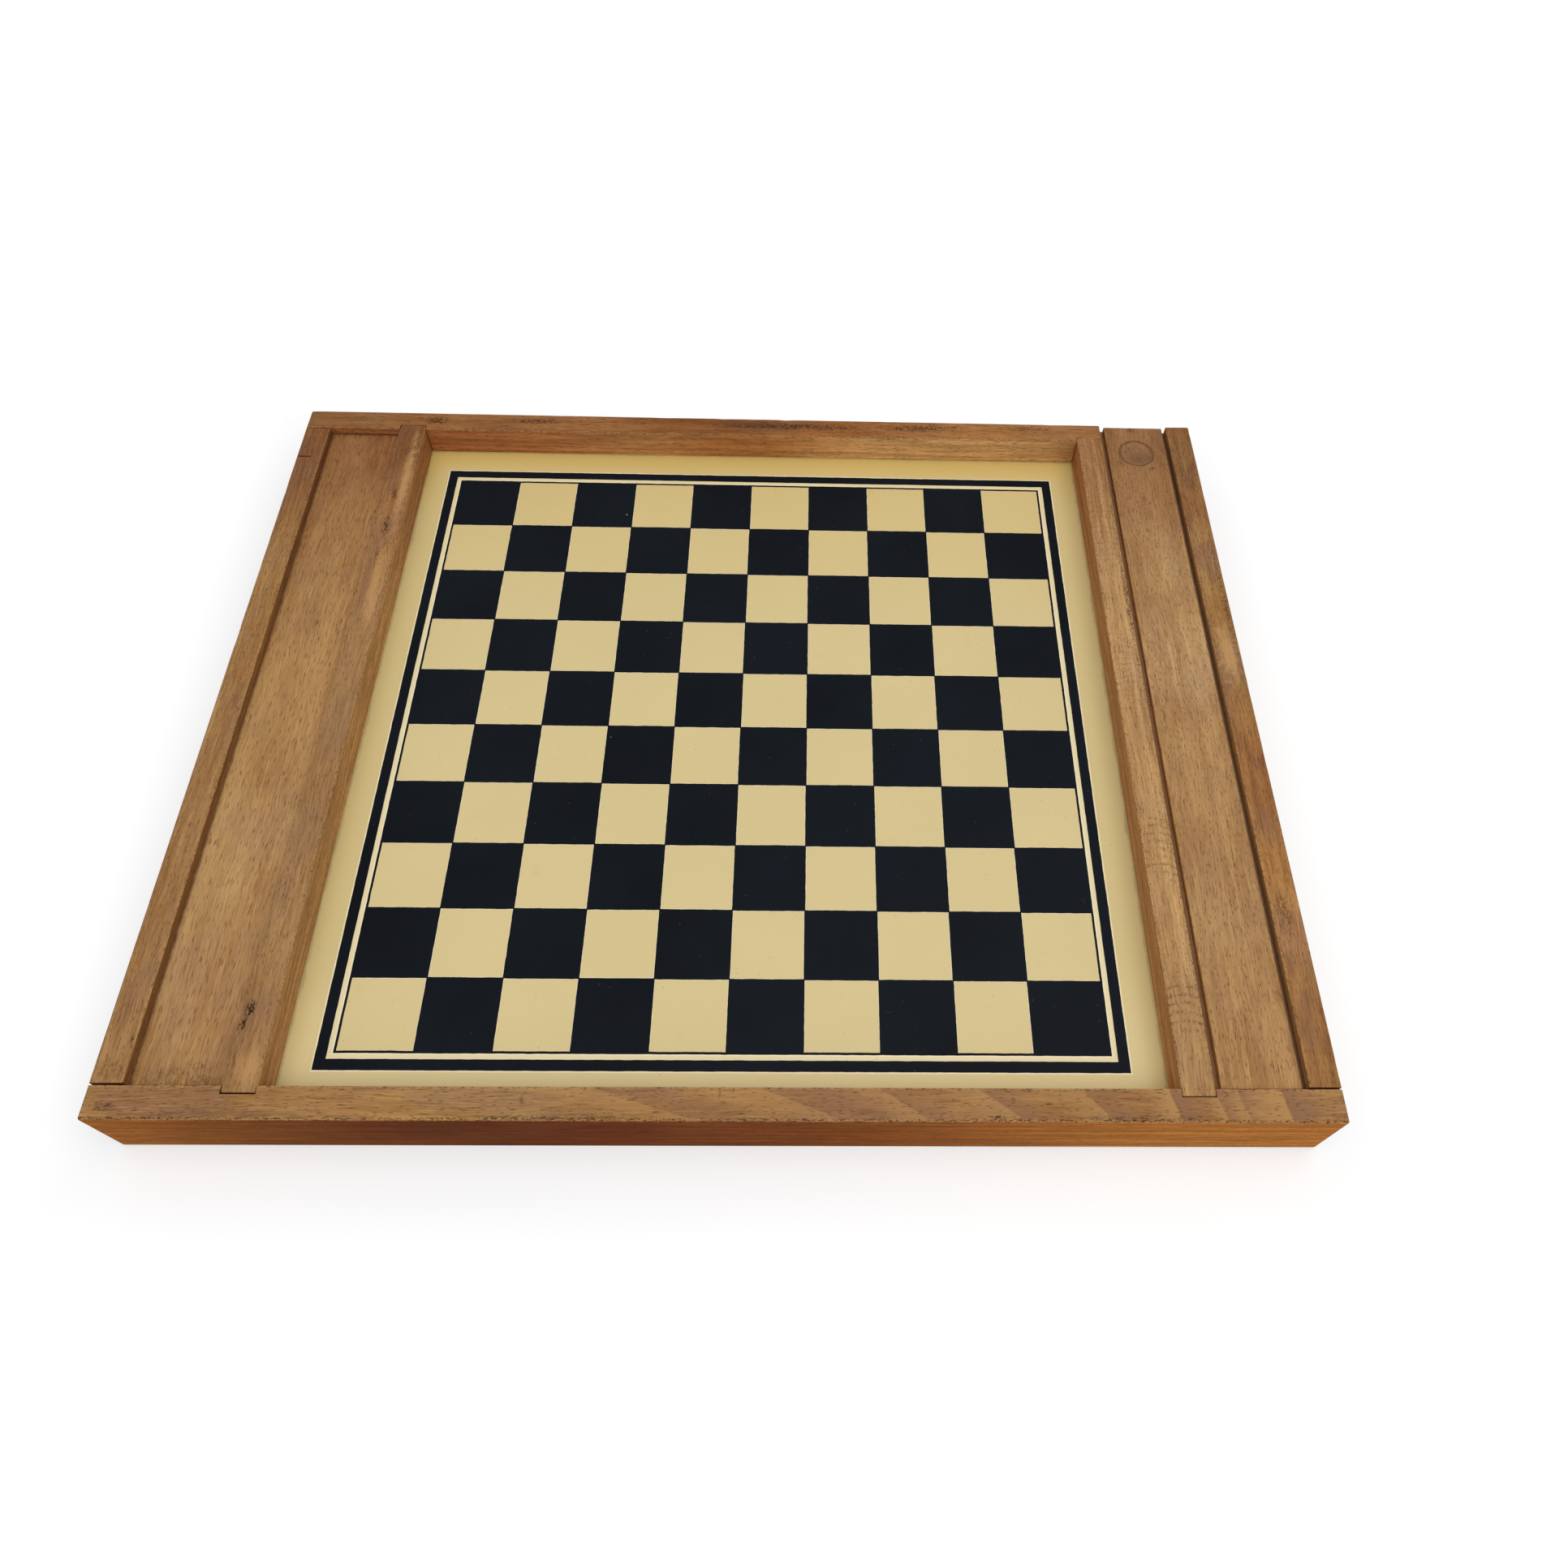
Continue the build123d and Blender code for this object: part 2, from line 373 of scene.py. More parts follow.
def beech_material(node, grain_axis, seed, look):
    """Beech with growth bands, fibres, flecks, patches, end grain, worn edges and grime.

    look holds what differs between pieces, with lengths in millimetres: tree, the place of
    the tree's middle across and up; tilt, how far it leaves the length; band and band_share,
    the width and depth of a growth band; sway, how far the grain wanders; flecks, their
    length and width, fleck_share and long_share, how many there are; golden, pink, worn,
    nicks and dark_back, how much there is of each. tint and tones are factors on the upper
    faces, over all and in stretches of the length, and side_tint and polish the same on the
    upright faces, where the stretches of polish hold patina and painted shade. slants, rays,
    marks, rings, strips, arris and opening are single details; strips and opening hold dirt
    and painted shade.
    """
    beech = bpy.context.scene.game_board.beech
    material, nodes, shader = new_material("beech_" + node)
    low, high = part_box(node)
    _, place = millimetre_position(nodes)
    facing = face_directions(nodes)
    if grain_axis == 0:
        along, across, up = place
    else:
        across, along, up = place
    shift = 131.7 * seed

    def grained(sideways, lengthwise, crosswise, detail, roughness=0.5, start=shift):
        """Noise with its scales along and across the grain, per millimetre."""
        scaled = nodes.vector(along * lengthwise + start, sideways * crosswise, up * crosswise)
        return nodes.noise(scaled, detail, roughness)

    # Slow wander of the grain, which bends every pattern below it
    wander = grained(across, 0.011, 0.02, 1.0)
    fine_wander = grained(across, 0.05, 0.09, 2.0)
    bent = across + (wander - 0.5) * look.get("sway", 7.0)
    bent = bent + (fine_wander - 0.5) * 1.4

    # Growth bands round the middle of the tree
    tree_across, tree_up = look["tree"]
    aside = bent + along * look["tilt"] - tree_across
    over = up - tree_up
    reach = (aside * aside + over * over) ** 0.5
    turn = reach * (2 * math.pi / look["band"])
    band = (turn.maths("SINE") * 0.5 + 0.5) ** 2.2

    # Fibres, streaks, clouds and patches
    fibre = grained(bent, 0.11, 2.3, 3.0, 0.65)
    streak = grained(bent, 0.018, 0.55, 2.0, 0.55)
    cloud = grained(across, 0.016, 0.05, 3.0, 0.55)
    patch = grained(across, 0.035, 0.08, 3.0, 0.55, -shift)
    ragged = grained(across, 0.32, 0.5, 4.0, 0.7)
    gritty = grained(across, 0.8, 1.9, 3.0, 0.7, -shift)
    colour = layered(
        nodes,
        nodes.mix(cloud.rising(0.32, 0.68), rgba(beech.brown), rgba(beech.golden)),
        (streak.rising(0.45, 0.70) * look.get("golden", 0.3), shaded(beech.golden, 1.08)),
        (patch.rising(0.46, 0.62) * look.get("pink", 0.5), rgba(beech.pink)),
        (band * look.get("band_share", 0.30), shaded(beech.brown, 0.74)),
        (fibre.rising(0.49, 0.68) * 0.62, shaded(beech.brown, 0.48)),
        (fibre.rising(0.47, 0.28) * 0.48, shaded(beech.golden, 1.26)),
        (gritty.rising(0.56, 0.76) * 0.30, shaded(beech.brown, 0.45)),
    )

    # Slanted growth lines: the wood pales up to each line and is dark again just past it
    front_edge = low[1 - grain_axis] / MM
    for line_place, width, slope, strength in look.get("slants", ()):
        offset = along - line_place + (across - front_edge) * slope + (ragged - 0.5) * 1.2
        before = offset.rising(-width, -0.5) * offset.rising(0.4, -0.4)
        past = offset.rising(-0.4, 0.4) * offset.rising(width, 0.5)
        colour = layered(
            nodes,
            colour,
            (before * strength, shaded(beech.golden, 1.05)),
            (past * strength, shaded(beech.pink, 0.92)),
        )

    # Rays seen from the side, soft rows of small reddish dots that curve across the rail
    row_distance = 3.4
    for middle, half, strength in look.get("rays", ()):
        zone = (abs(along - middle) + (patch - 0.5) * half).rising(half, half * 0.4)
        from_middle = across - (low[1 - grain_axis] + high[1 - grain_axis]) / 2 / MM
        curved = along + from_middle * from_middle * 0.035 + (fine_wander - 0.5) * 3.0
        rows = (curved * (2 * math.pi / row_distance)).maths("SINE").rising(-0.1, 0.8)
        dots = grained(across, 0.55, 0.75, 1.0)
        strokes = grained(across, 0.9, 0.16, 1.0, start=-shift)
        marks = (dots.rising(0.46, 0.66) * 0.8 + strokes.rising(0.48, 0.70) * 0.6).clipped()
        colour = nodes.mix(marks * rows * zone * strength, colour, shaded(beech.side, 0.38))
    colour = tinted(nodes, colour, look.get("tint", (1.0, 1.0, 1.0)))
    for middle, half, factor in look.get("tones", ()):
        zone = (abs(along - middle) + (cloud - 0.5) * 0.3 * half).rising(half, half * 0.3)
        colour = tinted(nodes, colour, factor, zone)

    # Upright faces kept their orange polish, the sawn ends are brown
    polish_and_shade = layered(
        nodes,
        nodes.mix(streak.rising(0.35, 0.65), shaded(beech.side, 0.76), shaded(beech.side, 1.20)),
        (band * 0.40, shaded(beech.side, 0.62)),
        (fibre.rising(0.47, 0.68) * 0.60, shaded(beech.side, 0.46)),
        (fibre.rising(0.46, 0.30) * 0.40, shaded(beech.side, 1.50)),
    )
    polish_and_shade = tinted(nodes, polish_and_shade, look.get("side_tint", (1.0, 1.0, 1.0)))
    # Stretches along the upright faces made darker: partly patina, partly painted shade where less
    # light fell
    for middle, half, strength, factor in look.get("polish_and_shade", ()):
        zone = (abs(along - middle) + (cloud - 0.5) * 0.25 * half).rising(half, half * 0.1)
        polish_and_shade = tinted(nodes, polish_and_shade, factor, zone * strength)
    pores = nodes.spots(nodes.vector(across * 1.9 + shift, up * 1.9, along * 0.1), 0.30, 0.7)
    ring = nodes.mix(band * 0.6, rgba(beech.end), shaded(beech.end, 0.72))
    ring = nodes.mix(pores * 0.5, ring, shaded(beech.fleck, 0.8))
    sawn = facing[grain_axis].rising(0.55, 0.85)
    colour = layered(nodes, colour, (facing[2].rising(0.80, 0.45) * 0.95, polish_and_shade), (sawn, ring))

    # Ray flecks and open pores along the grain
    plain = 1.0 - sawn
    fleck_length, fleck_width = look["flecks"]
    lengthwise, crosswise = 0.34 / fleck_length, 0.34 / fleck_width
    short_cells = nodes.vector(along * lengthwise + shift, bent * crosswise, up * crosswise)
    flecks = nodes.spots(short_cells, 0.36, look.get("fleck_share", 0.75), 0.7)
    long_cells = nodes.vector(along * 0.10 - shift, bent * 0.80, up * 0.80)
    long_flecks = nodes.spots(long_cells, 0.20, look.get("long_share", 0.20), 0.8)
    colour = layered(
        nodes,
        colour,
        (flecks * plain * 0.58, rgba(beech.fleck)),
        (long_flecks * plain * 0.88, shaded(beech.fleck, 0.85)),
    )

    # Darker towards the back end, worn and nicked along the edges
    back = place[1].rising(50.0, 165.0) * look.get("dark_back", 1.0)
    colour = tinted(nodes, colour, (0.74, 0.62, 0.60), back)
    edge = distance_to_edges(nodes, place, low, high)
    worn = (edge + (ragged - 0.5) * 3.2).rising(1.1, 0.1)
    near_edge = (edge + (ragged - 0.5) * 2.4).rising(1.3, 0.2)
    nick = gritty.rising(0.53, 0.64) * near_edge
    speck_cells = nodes.vector(along * 0.17 + shift, across * 0.23, up * 0.23)
    colour = layered(
        nodes,
        colour,
        (worn * look.get("worn", 0.30), shaded(beech.golden, 1.10)),
        (nick * look.get("nicks", 0.5), rgba(beech.grime)),
        (nodes.spots(speck_cells, 0.065, 0.30) * 0.75, rgba(beech.grime)),
    )

    # A broken dark line along the arris that hands wear
    if "arris" in look:
        off_arris = abs(place[1] - look["arris"]) + (ragged - 0.5) * 1.6
        broken = gritty.rising(0.46, 0.58) * ragged.rising(0.40, 0.56)
        line = off_arris.rising(0.75, 0.15) * broken * facing[2].rising(0.3, 0.7) * 0.85
        colour = nodes.mix(line, colour, rgba(beech.grime))

    # Dirt and painted shade where the rails meet a floor
    if "opening" in look:
        from_x, to_x, half_y = look["opening"]
        inside = (place[0] - from_x).least(to_x - place[0]).least(half_y - abs(place[1]))
        dirt_and_shade = (inside + (ragged - 0.5) * 1.8).rising(1.7, 0.1)
        colour = nodes.mix(dirt_and_shade * 0.72, colour, shaded(beech.fleck, 0.70))
    for marked in look.get("marks", ()):
        colour = add_mark(nodes, colour, place, marked, ragged, gritty, facing)

    # A dark ring where dirt gathered at the rim of the dish, broken here and there
    for centre, radius in look.get("rings", ()):
        sideways, endways = place[0] - centre[0], place[1] - centre[1]
        distance = (sideways * sideways + endways * endways).maths("SQRT")
        rim = abs(distance - radius + (ragged - 0.5) * 0.5).rising(0.9, 0.2)
        spoiled = 0.35 + gritty.rising(0.40, 0.55) * 0.65
        amount = rim * spoiled * facing[2].rising(0.3, 0.6)
        colour = nodes.mix(amount, colour, shaded(beech.pink, 0.42))

    # Low strips beside the raised field of a lid, darkened by dirt where no hand reaches and by painted
    # shade of the groove
    for middle, width, factor in look.get("strips", ()):
        off_strip = abs(place[0] - middle) + (ragged - 0.5) * 0.8
        dirt_and_shade = off_strip.rising(width * 0.5 + 0.3, width * 0.5 - 0.2)
        colour = nodes.mix(dirt_and_shade * facing[2] * 0.85, colour, shaded(beech.pink, factor))

    smudge_place = nodes.vector(place[0] * 0.03, place[1] * 0.03, place[2] * 0.03 + seed)
    smudge = nodes.noise(smudge_place, 3.0)
    roughness = smudge * 0.20 + fibre * 0.14 + 0.42 + worn * 0.08
    height = fibre * 0.6 - flecks * 0.7 - long_flecks * 0.9 - nick * 1.4 + ragged * 0.3
    finish_material(nodes, shader, colour, roughness, height, 0.09 * MM, 0.025)
    return material


def add_mark(nodes, colour, place, marked, ragged, gritty, facing):
    """Put one stain or cluster of specks on an upper face.

    marked holds its middle, its two half widths, its strength, its tone and how broken it is.
    """
    beech = bpy.context.scene.game_board.beech
    (middle_x, middle_y), (half_x, half_y), strength, chosen, broken = marked
    off_x = (place[0] - middle_x) / half_x
    off_y = (place[1] - middle_y) / half_y
    spread = ((off_x * off_x + off_y * off_y) ** 0.5 + (ragged - 0.5) * 1.8).rising(1.1, 0.2)
    if broken:
        spread = spread * gritty.rising(0.43, 0.55)
    tones = {
        "grime": rgba(beech.grime),
        "fleck": rgba(beech.fleck),
        "pink": shaded(beech.pink, 0.8),
        "pale": shaded(beech.golden, 1.25),
        "grey": shaded(beech.pink, 0.45),
        "soot": shaded(beech.grime, 0.6),
        "dish": shaded(beech.pink, 0.62),
    }
    return nodes.mix(spread * facing[2] * strength, colour, tones[chosen])


def cream_material(name, middle, turned, seed):
    """Cream paint that yellowed at the back, dulled by dust and painted shade along the rails, with
    dirt and painted shade in the corners and a faint orange peel.
    """
    board = bpy.context.scene.game_board.board
    material, nodes, shader = new_material(name)
    _, place = millimetre_position(nodes)
    shift = seed * 57.3
    flat = nodes.vector(place[0] + shift, place[1], place[2])
    soft = nodes.noise(flat, detail=3.0, roughness=0.55, scale=0.018)
    blotch = nodes.noise(flat, detail=4.0, roughness=0.6, scale=0.09)
    grain = nodes.noise(flat, detail=3.0, roughness=0.65, scale=1.3)
    rail_x = (well_high[0] - well_low[0]) / MM / 2 - GROOVE
    rail_y = (well_high[1] - well_low[1]) / MM / 2 - GROOVE
    side_gap = rail_x - abs(place[0]) + (blotch - 0.5) * 3.0
    end_gap = rail_y - abs(place[1]) + (blotch - 0.5) * 2.0
    sideways = -1.0 if turned else 1.0

    # Yellower towards the back, duller on the margins outside the print, and darker beside the side
    # rails with dust and painted shade
    off_print = abs(place[0] - middle[0]).most(abs(place[1] - middle[1]))
    outside = off_print.rising(147.0, 152.0)
    back = place[1].rising(20.0, 190.0)
    margin = (place[1] + 146.0).rising(0.0, 40.0) * outside
    past_print = place[1].rising(149.0, 152.0)
    colour = layered(
        nodes,
        nodes.mix(soft.rising(0.3, 0.7) * 0.6, rgba(board.cream), shaded(board.cream, 0.95)),
        (back * 0.55, rgba(board.yellowed)),
        (margin * 0.38, rgba(board.dull_and_shade)),
        (past_print * 0.55, rgba(board.yellowed)),
        # Beside the side rails: dust and painted shade of the walls
        (side_gap.rising(9.0, 0.5) * 0.45, rgba(board.dull_and_shade)),
    )

    # Along the walls of the well: painted shade along the back wall, and dirt with painted shade in its
    # corners
    outer_side = (place[0] * sideways).rising(150.0, 163.0)
    back_wall = end_gap.rising(5.0, 0.0) * place[1].rising(0.0, 10.0)
    back_half = place[1].rising(-20.0, 20.0)
    corner = side_gap.least(end_gap * back_half + (1.0 - back_half) * 9.0)
    dirt_and_shade = (corner + (grain - 0.5) * 1.5).rising(1.3, 0.1)
    bare = off_print.rising(151.8, 152.4)
    colour = layered(
        nodes,
        colour,
        (outer_side * side_gap.rising(8.0, 0.5) * 0.35, shaded(board.cream, 1.25)),
        # Painted shade along the back wall, over yellowed paint
        (back_wall * 0.45, shaded(board.yellowed, 0.78)),
        # Dirt and painted shade in the corners
        (dirt_and_shade * 0.60, rgba(board.stain_and_shade)),
        (blotch.rising(0.60, 0.80) * 0.20, shaded(board.yellowed, 0.93)),
        (bare * 0.20, shaded(board.cream, 1.22)),
    )
    yellow = off_print.rising(152.0, 162.0) * place[1].rising(120.0, 155.0)
    colour = tinted(nodes, colour, (0.94, 0.90, 0.66), yellow * 0.75)

    # Clean paint between line and border, along both of them and round every dark square
    line_edge, border_edge = 145.5, 151.95
    white = (1.0 - soft * 0.4) * off_print.rising(144.5, 145.4) * off_print.rising(147.9, 147.5)
    colour = nodes.mix(white * 0.55, colour, rgba(board.hairline))
    for edge_place in (border_edge, line_edge):
        hairline = abs(off_print - edge_place - 0.15).rising(0.50, 0.15)
        colour = nodes.mix(hairline * 0.80, colour, rgba(board.hairline))
    ink = bpy.context.scene.game_board.ink
    printed_side = (squares_high[0] - squares_low[0] - ink.line_width) / MM
    count = ink.chess_count if turned else ink.draughts_count
    for axis in range(2):
        cell = ((place[axis] - middle[axis]) * (count / printed_side)).maths("FRACT")
        to_square = cell.least(1.0 - cell) * (printed_side / count) + (grain - 0.5) * 0.3
        halo = to_square.rising(0.55, 0.30) * off_print.rising(145.2, 144.8)
        colour = nodes.mix(halo * 0.75, colour, rgba(board.hairline))

    # Brown specks, dust and the grain of the paint
    speck_cells = nodes.vector(place[0] * 0.22 + shift, place[1] * 0.22, place[2])
    specks = nodes.spots(speck_cells, 0.070, 0.55)
    dust_cells = nodes.vector(place[0] * 0.5 - shift, place[1] * 0.5, place[2])
    colour = layered(
        nodes,
        colour,
        (specks * 0.60, rgba(board.speck)),
        (nodes.spots(dust_cells, 0.12, 0.40) * 0.26, rgba(board.speck)),
        (grain.rising(0.48, 0.75) * 0.16, shaded(board.cream, 0.84)),
    )
    roughness = soft * 0.12 + grain * 0.06 + 0.36
    height = grain * 0.6 + blotch * 0.8 - specks * 0.6
    finish_material(nodes, shader, colour, roughness, height, 0.05 * MM, 0.20)
    return material


def ink_material():
    """Blue black printing ink with a faint relief, pinholes and a dusty bloom."""
    ink = bpy.context.scene.game_board.ink
    board = bpy.context.scene.game_board.board
    material, nodes, shader = new_material("black_ink")
    _, place = millimetre_position(nodes)
    flat = nodes.vector(place[0], place[1], place[2])
    soft = nodes.noise(flat, detail=3.0, roughness=0.55, scale=0.02)
    peel = nodes.noise(flat, detail=3.0, roughness=0.6, scale=0.55)
    grain = nodes.noise(flat, detail=2.0, roughness=0.6, scale=2.2)
    dust_cells = nodes.vector(place[0] * 0.24, place[1] * 0.24, place[2])
    pinhole_cells = nodes.vector(place[0] * 0.055, place[1] * 0.055, place[2])
    scuff_cells = nodes.vector(place[0] * 0.03 + 7.0, place[1] * 0.5, place[2])
    colour = layered(
        nodes,
        nodes.mix(soft.rising(0.3, 0.7), shaded(ink.ink, 0.82), shaded(ink.ink, 1.22)),
        (grain.rising(0.5, 0.8) * 0.30, shaded(ink.ink, 1.7)),
        (nodes.spots(dust_cells, 0.055, 0.30) * 0.35, shaded(board.cream, 0.5)),
        (nodes.spots(pinhole_cells, 0.030, 0.45, 0.4) * 0.85, rgba(board.cream)),
        (nodes.spots(scuff_cells, 0.05, 0.25) * 0.18, shaded(board.cream, 0.35)),
    )
    roughness = soft * 0.16 + grain * 0.10 + 0.34
    height = peel * 1.0 + grain * 0.25
    finish_material(nodes, shader, colour, roughness, height, 0.09 * MM, 0.06)
    return material


def dowel_material():
    """Raw turned beech."""
    beech = bpy.context.scene.game_board.beech
    material, nodes, shader = new_material("dowel_wood")
    _, place = millimetre_position(nodes)
    fibre = nodes.noise(nodes.vector(place[0] * 2.2, place[1] * 0.15, place[2] * 2.2), 3.0, 0.6)
    cloud = nodes.noise(nodes.vector(place[0] * 0.2, place[1] * 0.05, place[2] * 0.2), 2.0)
    colour = nodes.mix(cloud, shaded(beech.golden, 0.95), shaded(beech.golden, 1.15))
    colour = nodes.mix(fibre.rising(0.5, 0.75) * 0.5, colour, shaded(beech.brown, 0.75))
    finish_material(nodes, shader, colour, fibre * 0.2 + 0.6, fibre, 0.06 * MM)
    return material


def slice_piece(shape, axis, low, high, step):
    """Cut a shape across its length at even steps."""
    count = max(2, round((high[axis] - low[axis]) / step))
    direction = Vector((0, 0, 0))
    direction[axis] = 1
    for number in range(1, count):
        point = Vector((0, 0, 0))
        point[axis] = low[axis] + (high[axis] - low[axis]) * number / count
        everything = shape.verts[:] + shape.edges[:] + shape.faces[:]
        bmesh.ops.bisect_plane(
            shape, geom=everything, dist=1e-7, plane_co=point, plane_no=direction
        )


def wooden_piece(node, body, grain_axis, seed, look, drawn_back=(), pinch=0.0):
    """Make a worked copy of a CAD piece: eased edges, small dents, and joint ends drawn back.

    drawn_back holds an axis, an end's place and how far it moves; pinch narrows both ends.
    """
    name = node + "_wood"
    material = beech_material(node, grain_axis, seed, look)
    beech = bpy.context.scene.game_board.beech
    low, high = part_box(node)
    shape = bmesh.new()
    shape.from_mesh(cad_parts[node].data)
    bmesh.ops.remove_doubles(shape, verts=shape.verts[:], dist=1e-6)
    bmesh.ops.dissolve_limit(
        shape, angle_limit=math.radians(0.5), verts=shape.verts[:], edges=shape.edges[:]
    )
    shape.normal_update()
    corner_angle = math.radians(60)
    sharp = []
    for edge in shape.edges:
        if len(edge.link_faces) == 2 and edge.is_convex and edge.calc_face_angle() > corner_angle:
            sharp.append(edge)
    bmesh.ops.bevel(
        shape,
        geom=sharp,
        offset=beech.easing,
        offset_type="OFFSET",
        segments=3,
        profile=0.5,
        affect="EDGES",
        clamp_overlap=True,
    )
    slice_piece(shape, grain_axis, low, high, beech.slice_length)
    shape.normal_update()
    for vert in shape.verts:
        steepest = max((edge.calc_face_angle(0.0) for edge in vert.link_edges), default=0.0)
        if steepest < math.radians(8):
            continue
        place = Vector(vert.co)
        place[grain_axis] *= 0.35
        rough = noise.noise(place * 420 + Vector((seed * 3.7, 0, 0)))
        dent = max(0.0, noise.noise(Vector(vert.co) * 95 + Vector((0, seed * 5.1, 0))) - 0.28)
        vert.co -= vert.normal * ((rough * 0.5 + 0.5) * 0.05 * MM + dent * beech.dent_depth * 2.2)

    # Vertices this near to an end belong to it
    end_zone = 0.6 * MM
    across = 1 - grain_axis
    middle = (low[across] + high[across]) / 2
    for vert in shape.verts:
        reach = vert.co[grain_axis]
        if min(reach - low[grain_axis], high[grain_axis] - reach) < end_zone:
            vert.co[across] -= math.copysign(pinch, vert.co[across] - middle)
    for axis, end_place, amount in drawn_back:
        for vert in shape.verts:
            if abs(vert.co[axis] - end_place) < end_zone:
                vert.co[axis] += amount
    for face in shape.faces:
        face.smooth = True
    for edge in shape.edges:
        edge.smooth = edge.calc_face_angle(0.0) < math.radians(50)
    mesh = bpy.data.meshes.new(name)
    shape.to_mesh(mesh)
    shape.free()
    piece = bpy.data.objects.new(name, mesh)
    bpy.context.collection.objects.link(piece)
    mesh.materials.append(material)
    weighted = piece.modifiers.new("even shading", "WEIGHTED_NORMAL")
    weighted.keep_sharp = True
    weighted.weight = 60
    make_plain(piece)
    return settle(piece, node, body)


def make_plain(piece):
    """Turn what a piece's modifiers make into its plain mesh, and remove the modifiers."""
    bpy.context.view_layer.update()
    evaluated = piece.evaluated_get(bpy.context.evaluated_depsgraph_get())
    mesh = bpy.data.meshes.new_from_object(evaluated)
    old = piece.data
    piece.modifiers.clear()
    piece.data = mesh
    bpy.data.meshes.remove(old)
    mesh.name = piece.name


def settle(piece, node, body):
    """Let a piece stand for its CAD node, on its body."""
    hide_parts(node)
    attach(piece, body)
    return piece


def tree_inputs(tree, sockets):
    """Give a geometry tree its named inputs and its one output."""
    for name, kind, default in sockets:
        socket = tree.interface.new_socket(name=name, in_out="INPUT", socket_type=kind)
        if default is not None:
            socket.default_value = default
    tree.interface.new_socket(name="Geometry", in_out="OUTPUT", socket_type="NodeSocketGeometry")


def bar(nodes, size, middle, points_x, points_y):
    """One flat bar of ink, as a fine grid so that its edges can wander."""
    box = nodes.add(
        "GeometryNodeMeshCube",
        inputs={"Size": size, "Vertices X": points_x, "Vertices Y": points_y, "Vertices Z": 2},
    )
    return nodes.add("GeometryNodeTransform", inputs={"Geometry": box, "Translation": middle})


def band_of_bars(nodes, inside, width, thickness):
    """Four bars round a square; the upright pair is a hair thinner, so no two tops coincide."""
    outside = inside + width * 2
    off = (inside + width) * 0.5
    bars = []
    for sign in (1, -1):
        middle = nodes.vector(0.0, off * sign, thickness * 0.5)
        bars.append(bar(nodes, nodes.vector(outside, width, thickness), middle, 220, 3))
        thinner = thickness * 0.92
        middle = nodes.vector(off * sign, 0.0, thinner * 0.5)
        bars.append(bar(nodes, nodes.vector(width, inside + width, thinner), middle, 3, 220))
    return bars


def joined(nodes, pieces):
    """Join several geometries into one."""
    made = nodes.node("GeometryNodeJoinGeometry")
    for piece in reversed(pieces):
        nodes.tree.links.new(piece.socket, made.inputs[0])
    return Value(nodes, made.outputs[0])


def finish_ink_tree(nodes, geometry, inputs):
    """Let the printed edges wander, then end the tree with its material."""
    place = nodes.add("GeometryNodeInputPosition")
    strays = []
    for scale, share in ((240.0, 1.0), (900.0, 0.55)):
        wave = nodes.add(
            "ShaderNodeTexNoise",
            {"noise_dimensions": "4D"},
            {"Vector": place, "W": inputs["Seed"], "Scale": scale, "Detail": 1.0},
            output="Color",
        )
        centred = nodes.add(
            "ShaderNodeVectorMath", {"operation": "SUBTRACT"}, {0: wave, 1: (0.5, 0.5, 0.5)}
        )
        amount = inputs["Wobble"] * (2.0 * share)
        flat = nodes.vector(amount, amount, 0.0)
        strays.append(
            nodes.add("ShaderNodeVectorMath", {"operation": "MULTIPLY"}, {0: centred, 1: flat})
        )
    stray = nodes.add("ShaderNodeVectorMath", {"operation": "ADD"}, {0: strays[0], 1: strays[1]})
    real = nodes.add("GeometryNodeRealizeInstances", inputs={0: geometry})
    moved = nodes.add("GeometryNodeSetPosition", inputs={"Geometry": real, "Offset": stray})
    inked = nodes.add(
        "GeometryNodeSetMaterial", inputs={"Geometry": moved, "Material": inputs["Ink"]}
    )
    output = nodes.tree.nodes.new("NodeGroupOutput")
    nodes.tree.links.new(inked.socket, output.inputs[0])


def group_values(nodes):
    """The group's inputs by name."""
    made = nodes.tree.nodes.new("NodeGroupInput")
    return {socket.name: Value(nodes, socket) for socket in made.outputs if socket.name}


